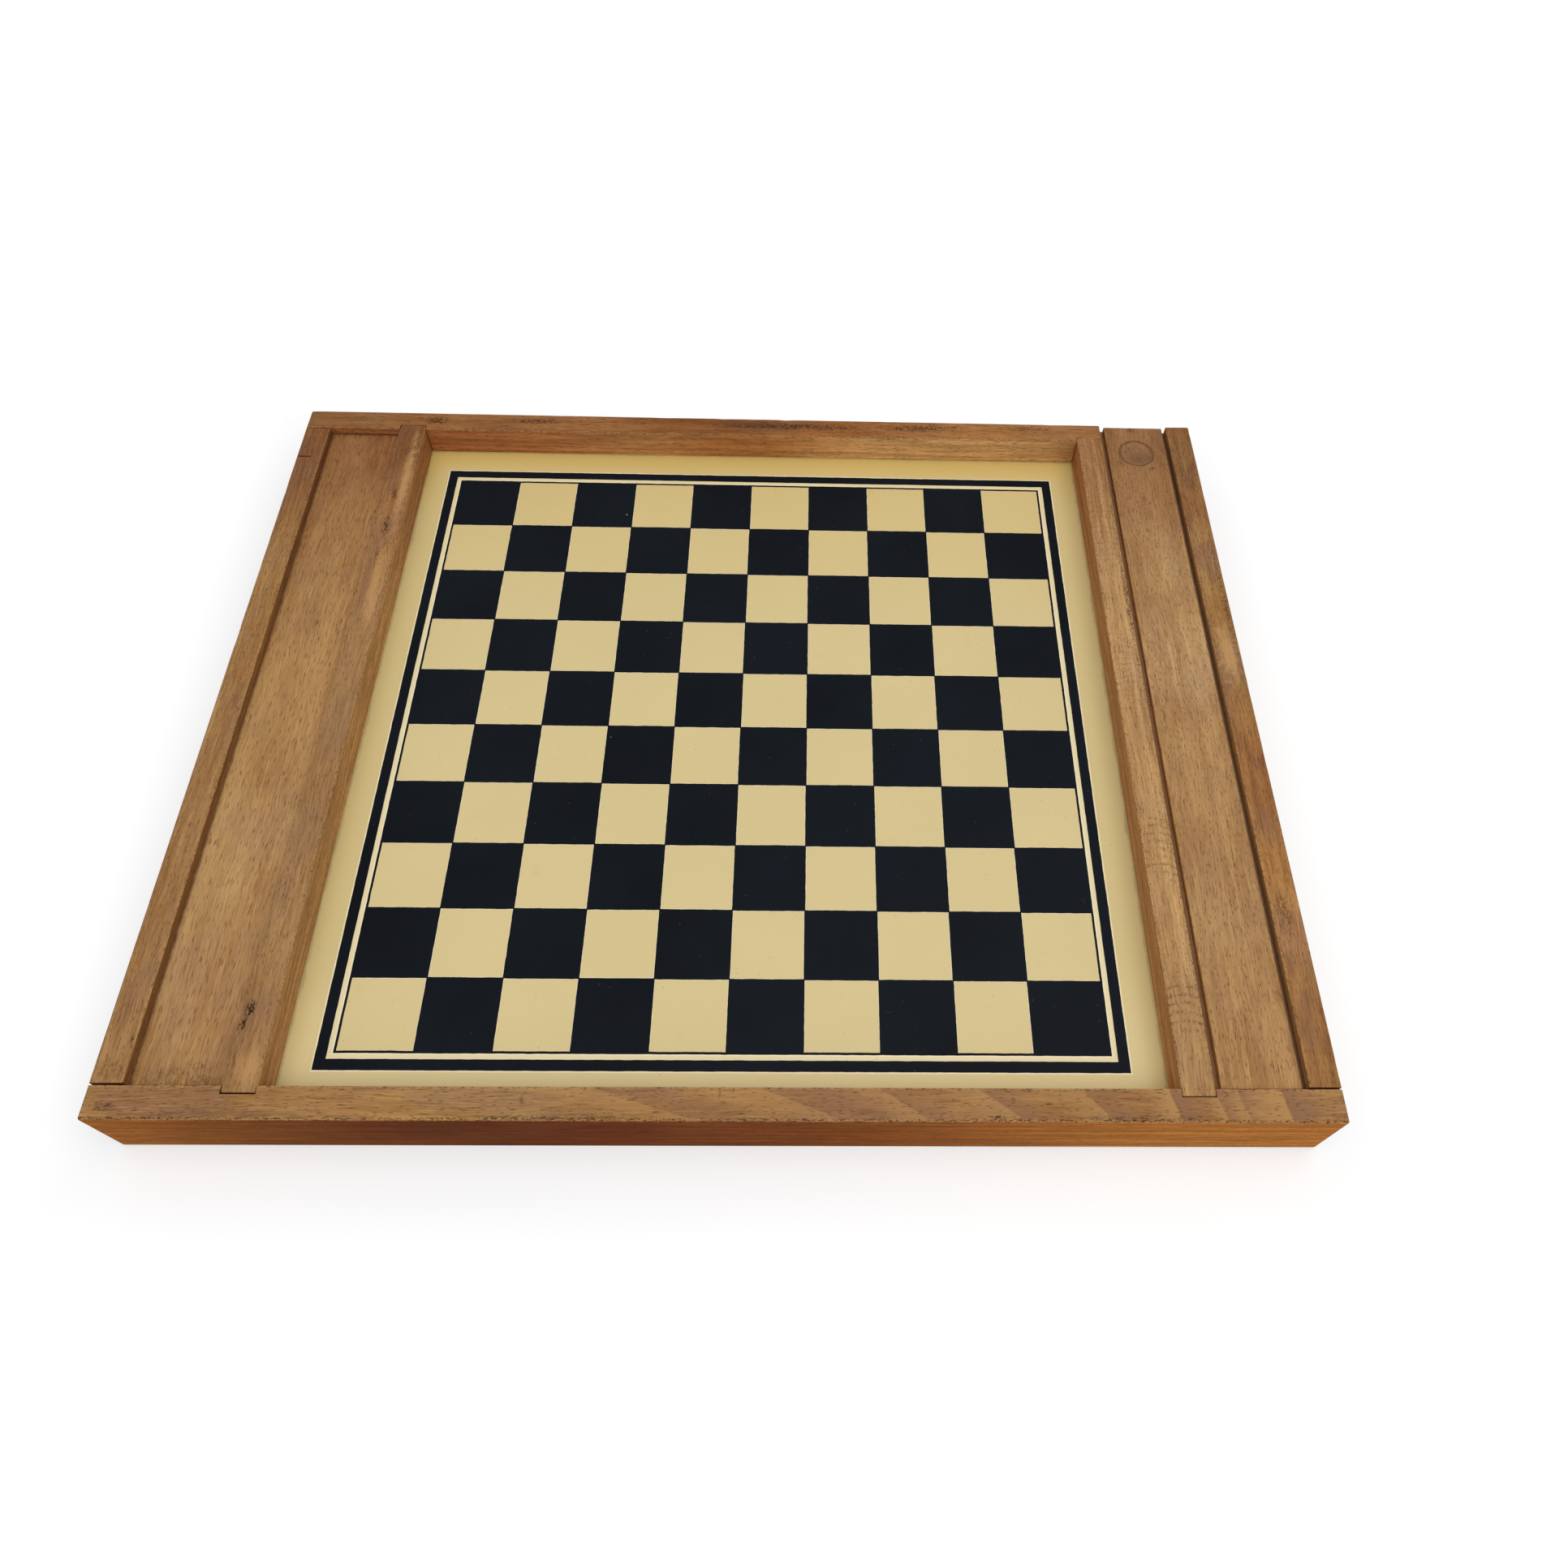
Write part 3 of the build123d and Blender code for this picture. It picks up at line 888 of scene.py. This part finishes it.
def checker_tree():
    """Geometry tree of the dark squares and the thin line round them."""
    tree = bpy.data.node_groups.new("printed squares", "GeometryNodeTree")
    tree_inputs(
        tree,
        (
            ("Squares", "NodeSocketInt", 10),
            ("Side", "NodeSocketFloat", 0.29),
            ("Corner Join", "NodeSocketFloat", 0.0004),
            ("Line Width", "NodeSocketFloat", 0.0009),
            ("Thickness", "NodeSocketFloat", 0.00015),
            ("Wobble", "NodeSocketFloat", 0.00016),
            ("Points", "NodeSocketInt", 24),
            ("Seed", "NodeSocketFloat", 1.0),
            ("Ink", "NodeSocketMaterial", None),
        ),
    )
    nodes = Nodes(tree)
    inputs = group_values(nodes)
    count = inputs["Squares"]
    square = inputs["Side"] / count
    span = inputs["Side"] - square
    grid = nodes.add(
        "GeometryNodeMeshGrid",
        inputs={"Size X": span, "Size Y": span, "Vertices X": count, "Vertices Y": count},
    )
    number = nodes.add("GeometryNodeInputIndex")
    column = (number / count + 0.001).maths("FLOOR")
    row = number - column * count
    light = (column + row + 0.5).maths("FLOORED_MODULO", 2.0).maths("LESS_THAN", 1.0)
    points = nodes.add(
        "GeometryNodeDeleteGeometry", {"domain": "POINT"}, {"Geometry": grid, "Selection": light}
    )
    side = square + inputs["Corner Join"]
    thickness = inputs["Thickness"]
    tile = nodes.add(
        "GeometryNodeMeshCube",
        inputs={
            "Size": nodes.vector(side, side, thickness),
            "Vertices X": inputs["Points"],
            "Vertices Y": inputs["Points"],
            "Vertices Z": 2,
        },
    )
    lifted = nodes.vector(0.0, 0.0, thickness * 0.5)
    tile = nodes.add("GeometryNodeTransform", inputs={"Geometry": tile, "Translation": lifted})

    # Every other row is a hair thinner, so that tops which meet over a corner don't coincide
    place = nodes.parts(nodes.add("GeometryNodeInputPosition"))
    along_row = (place[1] / square + 100.25).maths("FLOORED_MODULO", 2.0).maths("LESS_THAN", 1.0)
    thinner = 1.0 - along_row * 0.04
    tiles = nodes.add(
        "GeometryNodeInstanceOnPoints",
        inputs={"Points": points, "Instance": tile, "Scale": nodes.vector(1.0, 1.0, thinner)},
    )
    line_inside = inputs["Side"] - inputs["Line Width"]
    bars = band_of_bars(nodes, line_inside, inputs["Line Width"], thickness * 0.90)
    finish_ink_tree(nodes, joined(nodes, [tiles, *bars]), inputs)
    return tree


def border_tree():
    """Geometry tree of the broad dark band."""
    tree = bpy.data.node_groups.new("printed border", "GeometryNodeTree")
    tree_inputs(
        tree,
        (
            ("Inside", "NodeSocketFloat", 0.2953),
            ("Width", "NodeSocketFloat", 0.0042),
            ("Thickness", "NodeSocketFloat", 0.00015),
            ("Wobble", "NodeSocketFloat", 0.00016),
            ("Seed", "NodeSocketFloat", 1.0),
            ("Ink", "NodeSocketMaterial", None),
        ),
    )
    nodes = Nodes(tree)
    inputs = group_values(nodes)
    bars = band_of_bars(nodes, inputs["Inside"], inputs["Width"], inputs["Thickness"])
    finish_ink_tree(nodes, joined(nodes, bars), inputs)
    return tree


def printed_piece(node, tree, values, face, turned):
    """Run an ink tree with these values, lay the film on its board's face and settle it."""
    mesh = bpy.data.meshes.new(node + "_print")
    piece = bpy.data.objects.new(node + "_print", mesh)
    bpy.context.collection.objects.link(piece)
    modifier = piece.modifiers.new("ink", "NODES")
    modifier.node_group = tree
    for socket in tree.interface.items_tree:
        if socket.in_out == "INPUT" and socket.name in values:
            modifier[socket.identifier] = values[socket.name]
    make_plain(piece)
    laid = Matrix.Translation(face)
    if turned:
        laid = laid @ Matrix.Rotation(math.pi, 4, "Y")
    piece.data.transform(laid)
    piece.data.update()
    return settle(piece, node, "frame")


class GAMEBOARD_OT_end_rails(bpy.types.Operator):
    """Work the front and back rails of the frame"""

    bl_idname = "game_board.end_rails"
    bl_label = "End Rails"

    def execute(self, context):
        front_look = {
            "tree": (-150.0, -40.0),
            "tilt": 0.03,
            "band": 5.5,
            "band_share": 0.25,
            "flecks": (1.2, 0.24),
            "golden": 0.45,
            "pink": 0.80,
            "nicks": 0.75,
            "worn": 0.40,
            "dark_back": 0.0,
            "tint": (0.94, 0.93, 0.86),
            "tones": ((-90.0, 50.0, (1.18, 1.28, 1.24)),),
            # Stretches of the front face made darker, partly patina and partly painted shade, so only
            # the right end keeps the brightly lit tone
            "side_tint": (1.53, 1.085, 0.50),
            "polish_and_shade": (
                (-81.0, 120.0, 1.0, (0.70, 0.48, 0.25)),
                (4.0, 181.0, 1.0, (0.42, 0.29, 0.18)),
                (-140.0, 140.0, 1.0, (0.44, 0.35, 0.22)),
            ),
            "arris": -175.0,
            "slants": (
                (-8.9, 40.0, 3.2, 0.45),
                (43.6, 34.0, 2.6, 0.45),
                (74.3, 20.0, 1.6, 0.55),
                (108.1, 20.0, 1.45, 0.60),
                (139.2, 18.0, 0.93, 0.60),
                (163.5, 12.0, 0.32, 0.85),
                (180.1, 6.0, 0.35, 0.60),
                (188.2, 5.0, 0.33, 0.50),
                (202.9, 16.0, 0.20, 0.90),
            ),
            "marks": (
                ((97.5, -174.2), (4.0, 1.3), 0.9, "grime", True),
                ((-71.0, -168.8), (1.0, 2.6), 0.45, "fleck", False),
                ((-1.5, -166.0), (0.7, 3.0), 0.40, "fleck", False),
                ((-215.5, -171.0), (5.0, 2.2), 0.8, "grime", True),
                ((-170.0, -173.6), (34.0, 1.8), 0.50, "grey", False),
                ((-60.0, -174.4), (40.0, 1.2), 0.50, "grime", True),
                ((150.0, -174.2), (30.0, 1.3), 0.60, "grime", True),
            ),
        }
        back_look = {
            "tree": (240.0, -35.0),
            "tilt": -0.02,
            "band": 5.0,
            "band_share": 0.32,
            "flecks": (1.6, 0.24),
            "golden": 0.4,
            "pink": 0.4,
            "nicks": 0.8,
            "tint": (1.06, 1.00, 0.86),
            "side_tint": (2.24, 2.95, 3.45),
            "tones": (
                (-205.0, 40.0, (1.02, 1.18, 1.35)),
                (-30.0, 42.0, (0.85, 0.78, 0.70)),
                (45.0, 40.0, (1.18, 1.14, 1.00)),
                (108.0, 55.0, (1.28, 1.36, 1.30)),
                (178.0, 50.0, (1.12, 1.22, 1.32)),
            ),
            # Stretches of the back rail's upright faces made darker, most on the left: partly patina,
            # partly painted shade of light falling from the right
            "polish_and_shade": (
                (-190.0, 270.0, 1.0, (0.62, 0.40, 0.34)),
                (-5.0, 66.0, 1.0, (0.78, 0.63, 0.50)),
                (168.0, 22.0, 0.5, (0.6, 0.5, 0.5)),
            ),
            "marks": (
                ((-159.0, 170.0), (9.0, 3.5), 0.85, "grime", True),
                ((-110.0, 171.0), (20.0, 2.6), 0.75, "grime", True),
                ((10.0, 170.5), (40.0, 3.2), 0.60, "grey", False),
                ((20.0, 170.5), (50.0, 3.0), 0.85, "grime", True),
                ((85.0, 171.0), (26.0, 3.0), 0.85, "grime", True),
                ((140.0, 172.0), (18.0, 2.0), 0.70, "grime", True),
            ),
        }
        wooden_piece("front_rail", "frame", 0, 1.0, front_look)
        wooden_piece("back_rail", "frame", 0, 2.0, back_look)
        return {"FINISHED"}


class GAMEBOARD_OT_side_rails(bpy.types.Operator):
    """Work the outer and inner side rails of the frame"""

    bl_idname = "game_board.side_rails"
    bl_label = "Side Rails"

    def execute(self, context):
        looks = {
            "left_outer_rail": {
                "tree": (-260.0, 10.0),
                "tilt": 0.02,
                "band": 4.5,
                "flecks": (1.1, 0.22),
                "pink": 0.6,
                "golden": 0.35,
                "tint": (0.97, 1.00, 0.97),
                "tones": ((60.0, 62.0, (1.08, 1.10, 1.02)), (158.0, 26.0, (0.88, 0.82, 0.82))),
                "side_tint": (0.62, 0.55, 0.50),
                "marks": (
                    ((-219.4, 143.6), (4.6, 0.55), 1.0, "grime", False),
                    ((-212.7, -147.2), (0.9, 2.2), 0.95, "grime", True),
                    ((-217.0, -158.5), (7.0, 5.0), 0.45, "fleck", True),
                ),
            },
            "right_outer_rail": {
                "tree": (280.0, 20.0),
                "tilt": -0.03,
                "band": 5.0,
                "flecks": (1.3, 0.22),
                "pink": 0.85,
                "golden": 0.3,
                "tint": (0.91, 0.86, 0.74),
                "tones": (
                    (-150.0, 32.0, (0.86, 0.80, 0.76)),
                    (-90.0, 36.0, (1.30, 1.33, 1.34)),
                    (-30.0, 32.0, (0.87, 0.76, 0.78)),
                    (30.0, 30.0, (0.92, 1.00, 1.12)),
                    (90.0, 34.0, (1.11, 1.22, 1.32)),
                    (150.0, 32.0, (0.93, 1.04, 1.20)),
                ),
                "marks": (
                    ((217.5, 32.0), (6.0, 22.0), 0.75, "pale", False),
                    ((216.0, -95.0), (4.0, 14.0), 0.55, "grime", True),
                    ((216.0, -140.0), (4.0, 16.0), 0.45, "pink", False),
                    ((221.0, 60.0), (1.6, 60.0), 0.6, "grime", True),
                ),
            },
            "left_inner_rail": {
                "tree": (-168.0, -6.0),
                "tilt": 0.035,
                "band": 7.0,
                "sway": 16.0,
                "band_share": 0.48,
                "flecks": (1.3, 0.22),
                "pink": 0.5,
                "golden": 0.55,
                "tint": (0.96, 1.00, 1.00),
                "tones": ((95.0, 34.0, (1.08, 1.05, 1.00)), (155.0, 30.0, (0.84, 0.81, 0.80))),
                "side_tint": (1.20, 1.24, 1.30),
                "marks": (
                    ((-171.0, 98.8), (2.0, 8.0), 1.0, "soot", True),
                    ((-170.8, 119.0), (1.5, 3.6), 1.0, "soot", True),
                    ((-167.6, 128.0), (3.0, 36.0), 0.70, "pale", False),
                    ((-169.4, 62.0), (3.4, 30.0), 0.60, "pale", False),
                    ((-173.6, 72.0), (2.6, 40.0), 0.55, "pink", False),
                    ((-171.8, 82.0), (1.3, 5.0), 0.7, "fleck", True),
                    ((-174.0, -136.5), (2.6, 4.8), 1.0, "soot", True),
                    ((-175.2, -141.5), (1.8, 2.8), 1.0, "soot", True),
                    ((-169.8, -157.0), (5.0, 9.0), 0.45, "pale", False),
                ),
            },
            "right_inner_rail": {
                "tree": (120.0, 60.0),
                "tilt": 0.0,
                "band": 6.0,
                "band_share": 0.22,
                "flecks": (0.8, 0.20),
                "pink": 0.30,
                "golden": 0.85,
                "rays": (
                    (-134.0, 16.0, 0.85),
                    (-66.0, 20.0, 0.60),
                    (24.0, 24.0, 0.50),
                    (104.0, 30.0, 0.40),
                ),
                "tint": (1.16, 1.24, 1.27),
                "tones": (
                    (-150.0, 30.0, (0.92, 0.92, 0.90)),
                    (-92.0, 34.0, (1.09, 1.13, 1.12)),
                    (30.0, 32.0, (1.12, 1.18, 1.25)),
                    (125.0, 60.0, (1.07, 1.14, 1.15)),
                ),
                "side_tint": (1.30, 1.22, 1.26),
                "marks": (
                    ((173.3, -72.0), (1.4, 0.9), 0.9, "pale", False),
                    ((175.6, 60.0), (1.2, 40.0), 0.7, "grime", True),
                ),
            },
        }
        # Where the outer rails butt the end rails, and where the housed ends of the inner ones are
        y_well = -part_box("front_rail")[1][1]
        housed_end = 0.16675
        gaps = {
            "left_outer_rail": ((1, -y_well, 0.80 * MM), (1, y_well, -0.55 * MM)),
            "right_outer_rail": ((1, -y_well, 0.75 * MM),),
            "left_inner_rail": ((1, -housed_end, 0.60 * MM), (1, housed_end, -0.45 * MM)),
            "right_inner_rail": ((1, -housed_end, 0.35 * MM), (1, housed_end, -0.18 * MM)),
        }
        pinches = {"left_inner_rail": 0.42 * MM, "right_inner_rail": 0.20 * MM}
        for number, (node, look) in enumerate(looks.items()):
            pinch = pinches.get(node, 0.0)
            wooden_piece(node, "frame", 1, 3.0 + number, look, gaps[node], pinch)
        return {"FINISHED"}


class GAMEBOARD_OT_boards(bpy.types.Operator):
    """Paint the two boards that lie back to back in the frame"""

    bl_idname = "game_board.boards"
    bl_label = "Boards"

    def execute(self, context):
        for node, low, high, seed in (
            ("draughts_board", squares_low, squares_high, 1.0),
            ("chess_board", chess_low, chess_high, 2.0),
        ):
            middle = ((low[0] + high[0]) / 2 / MM, (low[1] + high[1]) / 2 / MM)
            material = cream_material("cream_" + node, middle, seed > 1.5, seed)
            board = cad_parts[node]
            board.data.materials.clear()
            board.data.materials.append(material)
        return {"FINISHED"}


class GAMEBOARD_OT_ink(bpy.types.Operator):
    """Print the squares and the borders of both faces"""

    bl_idname = "game_board.ink"
    bl_label = "Printed Ink"

    def execute(self, context):
        ink = context.scene.game_board.ink
        material = ink_material()
        squares, border = checker_tree(), border_tree()
        side = squares_high[0] - squares_low[0] - ink.line_width
        inside = side + ink.line_width + 2 * ink.line_gap
        thickness = squares_high[2] - squares_low[2]
        faces = (
            ("draughts", ink.draughts_count, squares_low, squares_high, False, 24, 1.0),
            ("chess", ink.chess_count, chess_low, chess_high, True, 28, 5.0),
        )
        for face, count, low, high, turned, points, seed in faces:
            height = high[2] if turned else low[2]
            middle = Vector(((low[0] + high[0]) / 2, (low[1] + high[1]) / 2, height))
            values = {
                "Squares": count,
                "Side": side,
                "Corner Join": ink.corner_join,
                "Line Width": ink.line_width,
                "Thickness": thickness,
                "Wobble": ink.wobble,
                "Points": points,
                "Seed": seed,
                "Ink": material,
            }
            printed_piece(face + "_squares", squares, values, middle, turned)
            values = {
                "Inside": inside,
                "Width": ink.border_width,
                "Thickness": thickness,
                "Wobble": ink.wobble,
                "Seed": seed + 0.7,
                "Ink": material,
            }
            printed_piece(face + "_border", border, values, middle, turned)
        return {"FINISHED"}


class GAMEBOARD_OT_floors(bpy.types.Operator):
    """Work the fixed floors of the two compartments"""

    bl_idname = "game_board.floors"
    bl_label = "Compartment Floors"

    def execute(self, context):
        look = {
            "tree": (-150.0, 120.0),
            "tilt": -0.05,
            "band": 9.0,
            "band_share": 0.22,
            "flecks": (1.9, 0.24),
            "fleck_share": 0.6,
            "long_share": 0.75,
            "pink": 0.35,
            "golden": 0.6,
            "nicks": 0.0,
            "worn": 0.0,
            "tint": (1.08, 1.12, 1.06),
            "tones": ((-100.0, 95.0, (1.09, 1.15, 1.22)), (150.0, 30.0, (0.95, 0.92, 0.93))),
            "marks": (
                ((-193.0, -160.0), (22.0, 7.0), 0.45, "fleck", True),
                ((-180.0, -150.0), (4.0, 16.0), 0.35, "pink", False),
            ),
        }
        for node, seed in (("left_floor", 11.0), ("right_floor", 12.0)):
            low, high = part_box(node)
            look["opening"] = (low[0] / MM + GROOVE, high[0] / MM - GROOVE, high[1] / MM - GROOVE)
            wooden_piece(node, "frame", 1, seed, look)
        return {"FINISHED"}


class GAMEBOARD_OT_lids(bpy.types.Operator):
    """Work the two sliding lids"""

    bl_idname = "game_board.lids"
    bl_label = "Sliding Lids"

    def execute(self, context):
        for node, seed in (("right_lid", 21.0), ("left_lid", 22.0)):
            low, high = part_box(node)
            middle = (low[0] + high[0]) / 2 / MM
            look = {
                "tree": (middle - 90.0, -70.0),
                "tilt": 0.01,
                "band": 8.0,
                "band_share": 0.18,
                "flecks": (1.2, 0.24),
                "fleck_share": 0.85,
                "pink": 0.30,
                "golden": 0.65,
                "dark_back": 0.9,
                "nicks": 0.5,
                "tint": (1.07, 1.12, 1.12),
                "tones": (
                    (-90.0, 34.0, (1.05, 1.09, 1.15)),
                    (30.0, 34.0, (1.19, 1.30, 1.44)),
                    (90.0, 32.0, (1.07, 1.13, 1.16)),
                    (158.0, 28.0, (0.93, 0.95, 0.96)),
                ),
                "rings": (((middle, 157.5), 8.5),),
                "strips": ((middle - 17.6, 5.4, 0.80), (middle + 17.6, 5.4, 0.50)),
                "marks": (
                    ((middle + 2.0, 154.5), (6.5, 5.5), 0.85, "grey", True),
                    ((middle, 157.5), (8.7, 8.7), 0.55, "dish", False),
                    ((middle + 6.8, 147.0), (1.3, 1.0), 1.0, "grime", True),
                    ((middle - 1.0, 174.0), (3.0, 2.2), 0.9, "grime", True),
                ),
            }
            wooden_piece(node, node, 1, seed, look)
        return {"FINISHED"}


class GAMEBOARD_OT_dowels(bpy.types.Operator):
    """Give the four blind dowels their raw wood"""

    bl_idname = "game_board.dowels"
    bl_label = "Dowels"

    def execute(self, context):
        material = dowel_material()
        for name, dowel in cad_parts.items():
            if name.endswith("_dowel"):
                dowel.data.materials.clear()
                dowel.data.materials.append(material)
        return {"FINISHED"}


class GAMEBOARD_OT_stage(bpy.types.Operator):
    """Lay the pale floor, hang the lights and set the camera"""

    bl_idname = "game_board.stage"
    bl_label = "Stage"

    def execute(self, context):
        stage = context.scene.game_board.stage
        self.lay_floor(context, stage)
        self.set_lights(context, stage)
        self.set_camera(context)
        context.scene.view_settings.view_transform = "Standard"
        return {"FINISHED"}

    def lay_floor(self, context, stage):
        """A large pale sheet that shows white, keeps the real shadow, glows less near the box as a
        painted shadow and can't be seen from below.
        """
        half = stage.floor_size / 2
        mesh = bpy.data.meshes.new("floor")
        corners = [(-half, -half), (half, -half), (half, half), (-half, half)]
        mesh.from_pydata([(x, y, -0.0004) for x, y in corners], [], [(0, 1, 2, 3)])
        floor = bpy.data.objects.new("floor", mesh)
        context.collection.objects.link(floor)
        material = bpy.data.materials.new("pale_floor")
        material.use_nodes = True
        tree = material.node_tree
        tree.nodes.clear()
        nodes = Nodes(tree)
        lit = nodes.add("ShaderNodeBsdfDiffuse", inputs={"Color": (0.62, 0.625, 0.635, 1.0)})
        place = nodes.parts(nodes.add("ShaderNodeTexCoord", output="Object"))
        # The glow is dimmer close to the box: a painted shadow round it, over the real shadow that the
        # lit part keeps
        off_box = (abs(place[0]) - whole_high[0]).most(abs(place[1]) - whole_high[1])
        close, near, far = [(level, level, level, 1.0) for level in (0.37, 0.53, 1.0)]
        beside = nodes.mix(off_box.rising(0.01, 0.09), close, near)
        glow_with_painted_shadow = nodes.mix(off_box.rising(0.15, 1.20), beside, far)
        glow = nodes.add("ShaderNodeEmission", inputs={"Color": glow_with_painted_shadow, "Strength": 1.0})
        seen = nodes.add("ShaderNodeAddShader", inputs={0: lit, 1: glow})
        plain = nodes.add("ShaderNodeBsdfDiffuse", inputs={"Color": (0.82, 0.82, 0.82, 1.0)})
        shown = seen_directly(nodes)
        above = nodes.add("ShaderNodeMixShader", inputs={0: shown, 1: plain, 2: seen})
        below = nodes.add("ShaderNodeBsdfTransparent")
        underside = nodes.add("ShaderNodeNewGeometry", output="Backfacing")
        surface = nodes.add("ShaderNodeMixShader", inputs={0: underside, 1: above, 2: below})
        output = tree.nodes.new("ShaderNodeOutputMaterial")
        tree.links.new(surface.socket, output.inputs["Surface"])
        mesh.materials.append(material)
        floor.visible_diffuse = False
        floor.visible_glossy = False
        floor.visible_shadow = False

    def set_lights(self, context, stage):
        """One large soft lamp overhead and an even light from all round."""
        world = bpy.data.worlds.new("studio")
        context.scene.world = world
        world.use_nodes = True
        tree = world.node_tree
        tree.nodes.clear()
        nodes = Nodes(tree)
        direction = nodes.parts(nodes.add("ShaderNodeTexCoord", output="Generated"))
        level = direction[2].rising(-0.30, 0.40) * (stage.fill - stage.low_fill) + stage.low_fill
        fill = nodes.add(
            "ShaderNodeBackground", inputs={"Color": (0.98, 0.99, 1.0, 1.0), "Strength": level}
        )
        white = nodes.add("ShaderNodeBackground", inputs={"Color": (1, 1, 1, 1), "Strength": 1.0})
        shown = seen_directly(nodes)
        surface = nodes.add("ShaderNodeMixShader", inputs={0: shown, 1: fill, 2: white})
        output = tree.nodes.new("ShaderNodeOutputWorld")
        tree.links.new(surface.socket, output.inputs["Surface"])

        lamp = bpy.data.lights.new("overhead_lamp", "AREA")
        lamp.shape = "RECTANGLE"
        lamp.size, lamp.size_y = 2.4, 2.0
        lamp.energy = stage.key_power
        lamp.color = (1.0, 0.985, 0.96)
        hung = bpy.data.objects.new("overhead_lamp", lamp)
        hung.location = (0.40, -0.60, 2.15)
        aim = Vector((0, 0, 0)) - hung.location
        hung.rotation_euler = aim.to_track_quat("-Z", "Y").to_euler()
        context.collection.objects.link(hung)

    def set_camera(self, context):
        """The photograph's view, fitted to the printed squares, the rails and the front corners."""
        camera = bpy.data.cameras.new("camera")
        camera.sensor_width = 36.0
        camera.lens = 27.745
        camera.shift_x = -0.03318
        camera.shift_y = -0.04256
        camera.clip_start = 0.01
        camera.clip_end = 50.0
        right = Vector((0.99954122, -0.00514741, 0.02984726))
        up = Vector((-0.01202382, 0.83703691, 0.54701429))
        back = Vector((-0.02779896, -0.54712221, 0.836591))
        placed = bpy.data.objects.new("camera", camera)
        turned = Matrix((right, up, back)).transposed()
        placed.matrix_world = Matrix.Translation((0.02629, -0.28919, 0.46857)) @ turned.to_4x4()
        context.collection.objects.link(placed)
        context.scene.camera = placed


class GAMEBOARD_PT_pieces(bpy.types.Panel):
    """Lists what builds each piece of the game board"""

    bl_label = "Game Board"
    bl_idname = "GAMEBOARD_PT_pieces"
    bl_space_type = "VIEW_3D"
    bl_region_type = "UI"
    bl_category = "Game Board"

    def draw(self, context):
        for operator in operators:
            self.layout.operator(operator.bl_idname, text=operator.bl_label)
        settings = context.scene.game_board
        for group in (settings.beech, settings.board, settings.ink, settings.stage):
            box = self.layout.box()
            for name in group.bl_rna.properties.keys():
                if name not in ("rna_type", "name"):
                    box.prop(group, name)


operators = (
    GAMEBOARD_OT_end_rails,
    GAMEBOARD_OT_side_rails,
    GAMEBOARD_OT_boards,
    GAMEBOARD_OT_ink,
    GAMEBOARD_OT_floors,
    GAMEBOARD_OT_lids,
    GAMEBOARD_OT_dowels,
    GAMEBOARD_OT_stage,
)
classes = (
    BeechSettings,
    BoardSettings,
    InkSettings,
    StageSettings,
    GameBoardSettings,
    *operators,
    GAMEBOARD_PT_pieces,
)


def register():
    """Add the settings, the operators and the panel."""
    for each in classes:
        bpy.utils.register_class(each)
    bpy.types.Scene.game_board = bpy.props.PointerProperty(type=GameBoardSettings)


def unregister():
    """Take them away again."""
    del bpy.types.Scene.game_board
    for each in reversed(classes):
        bpy.utils.unregister_class(each)


def main():
    """Build every piece and the stage."""
    register()
    bpy.ops.game_board.end_rails()
    bpy.ops.game_board.side_rails()
    bpy.ops.game_board.boards()
    bpy.ops.game_board.ink()
    bpy.ops.game_board.floors()
    bpy.ops.game_board.lids()
    bpy.ops.game_board.dowels()
    bpy.ops.game_board.stage()


if __name__ == "__main__":
    main()
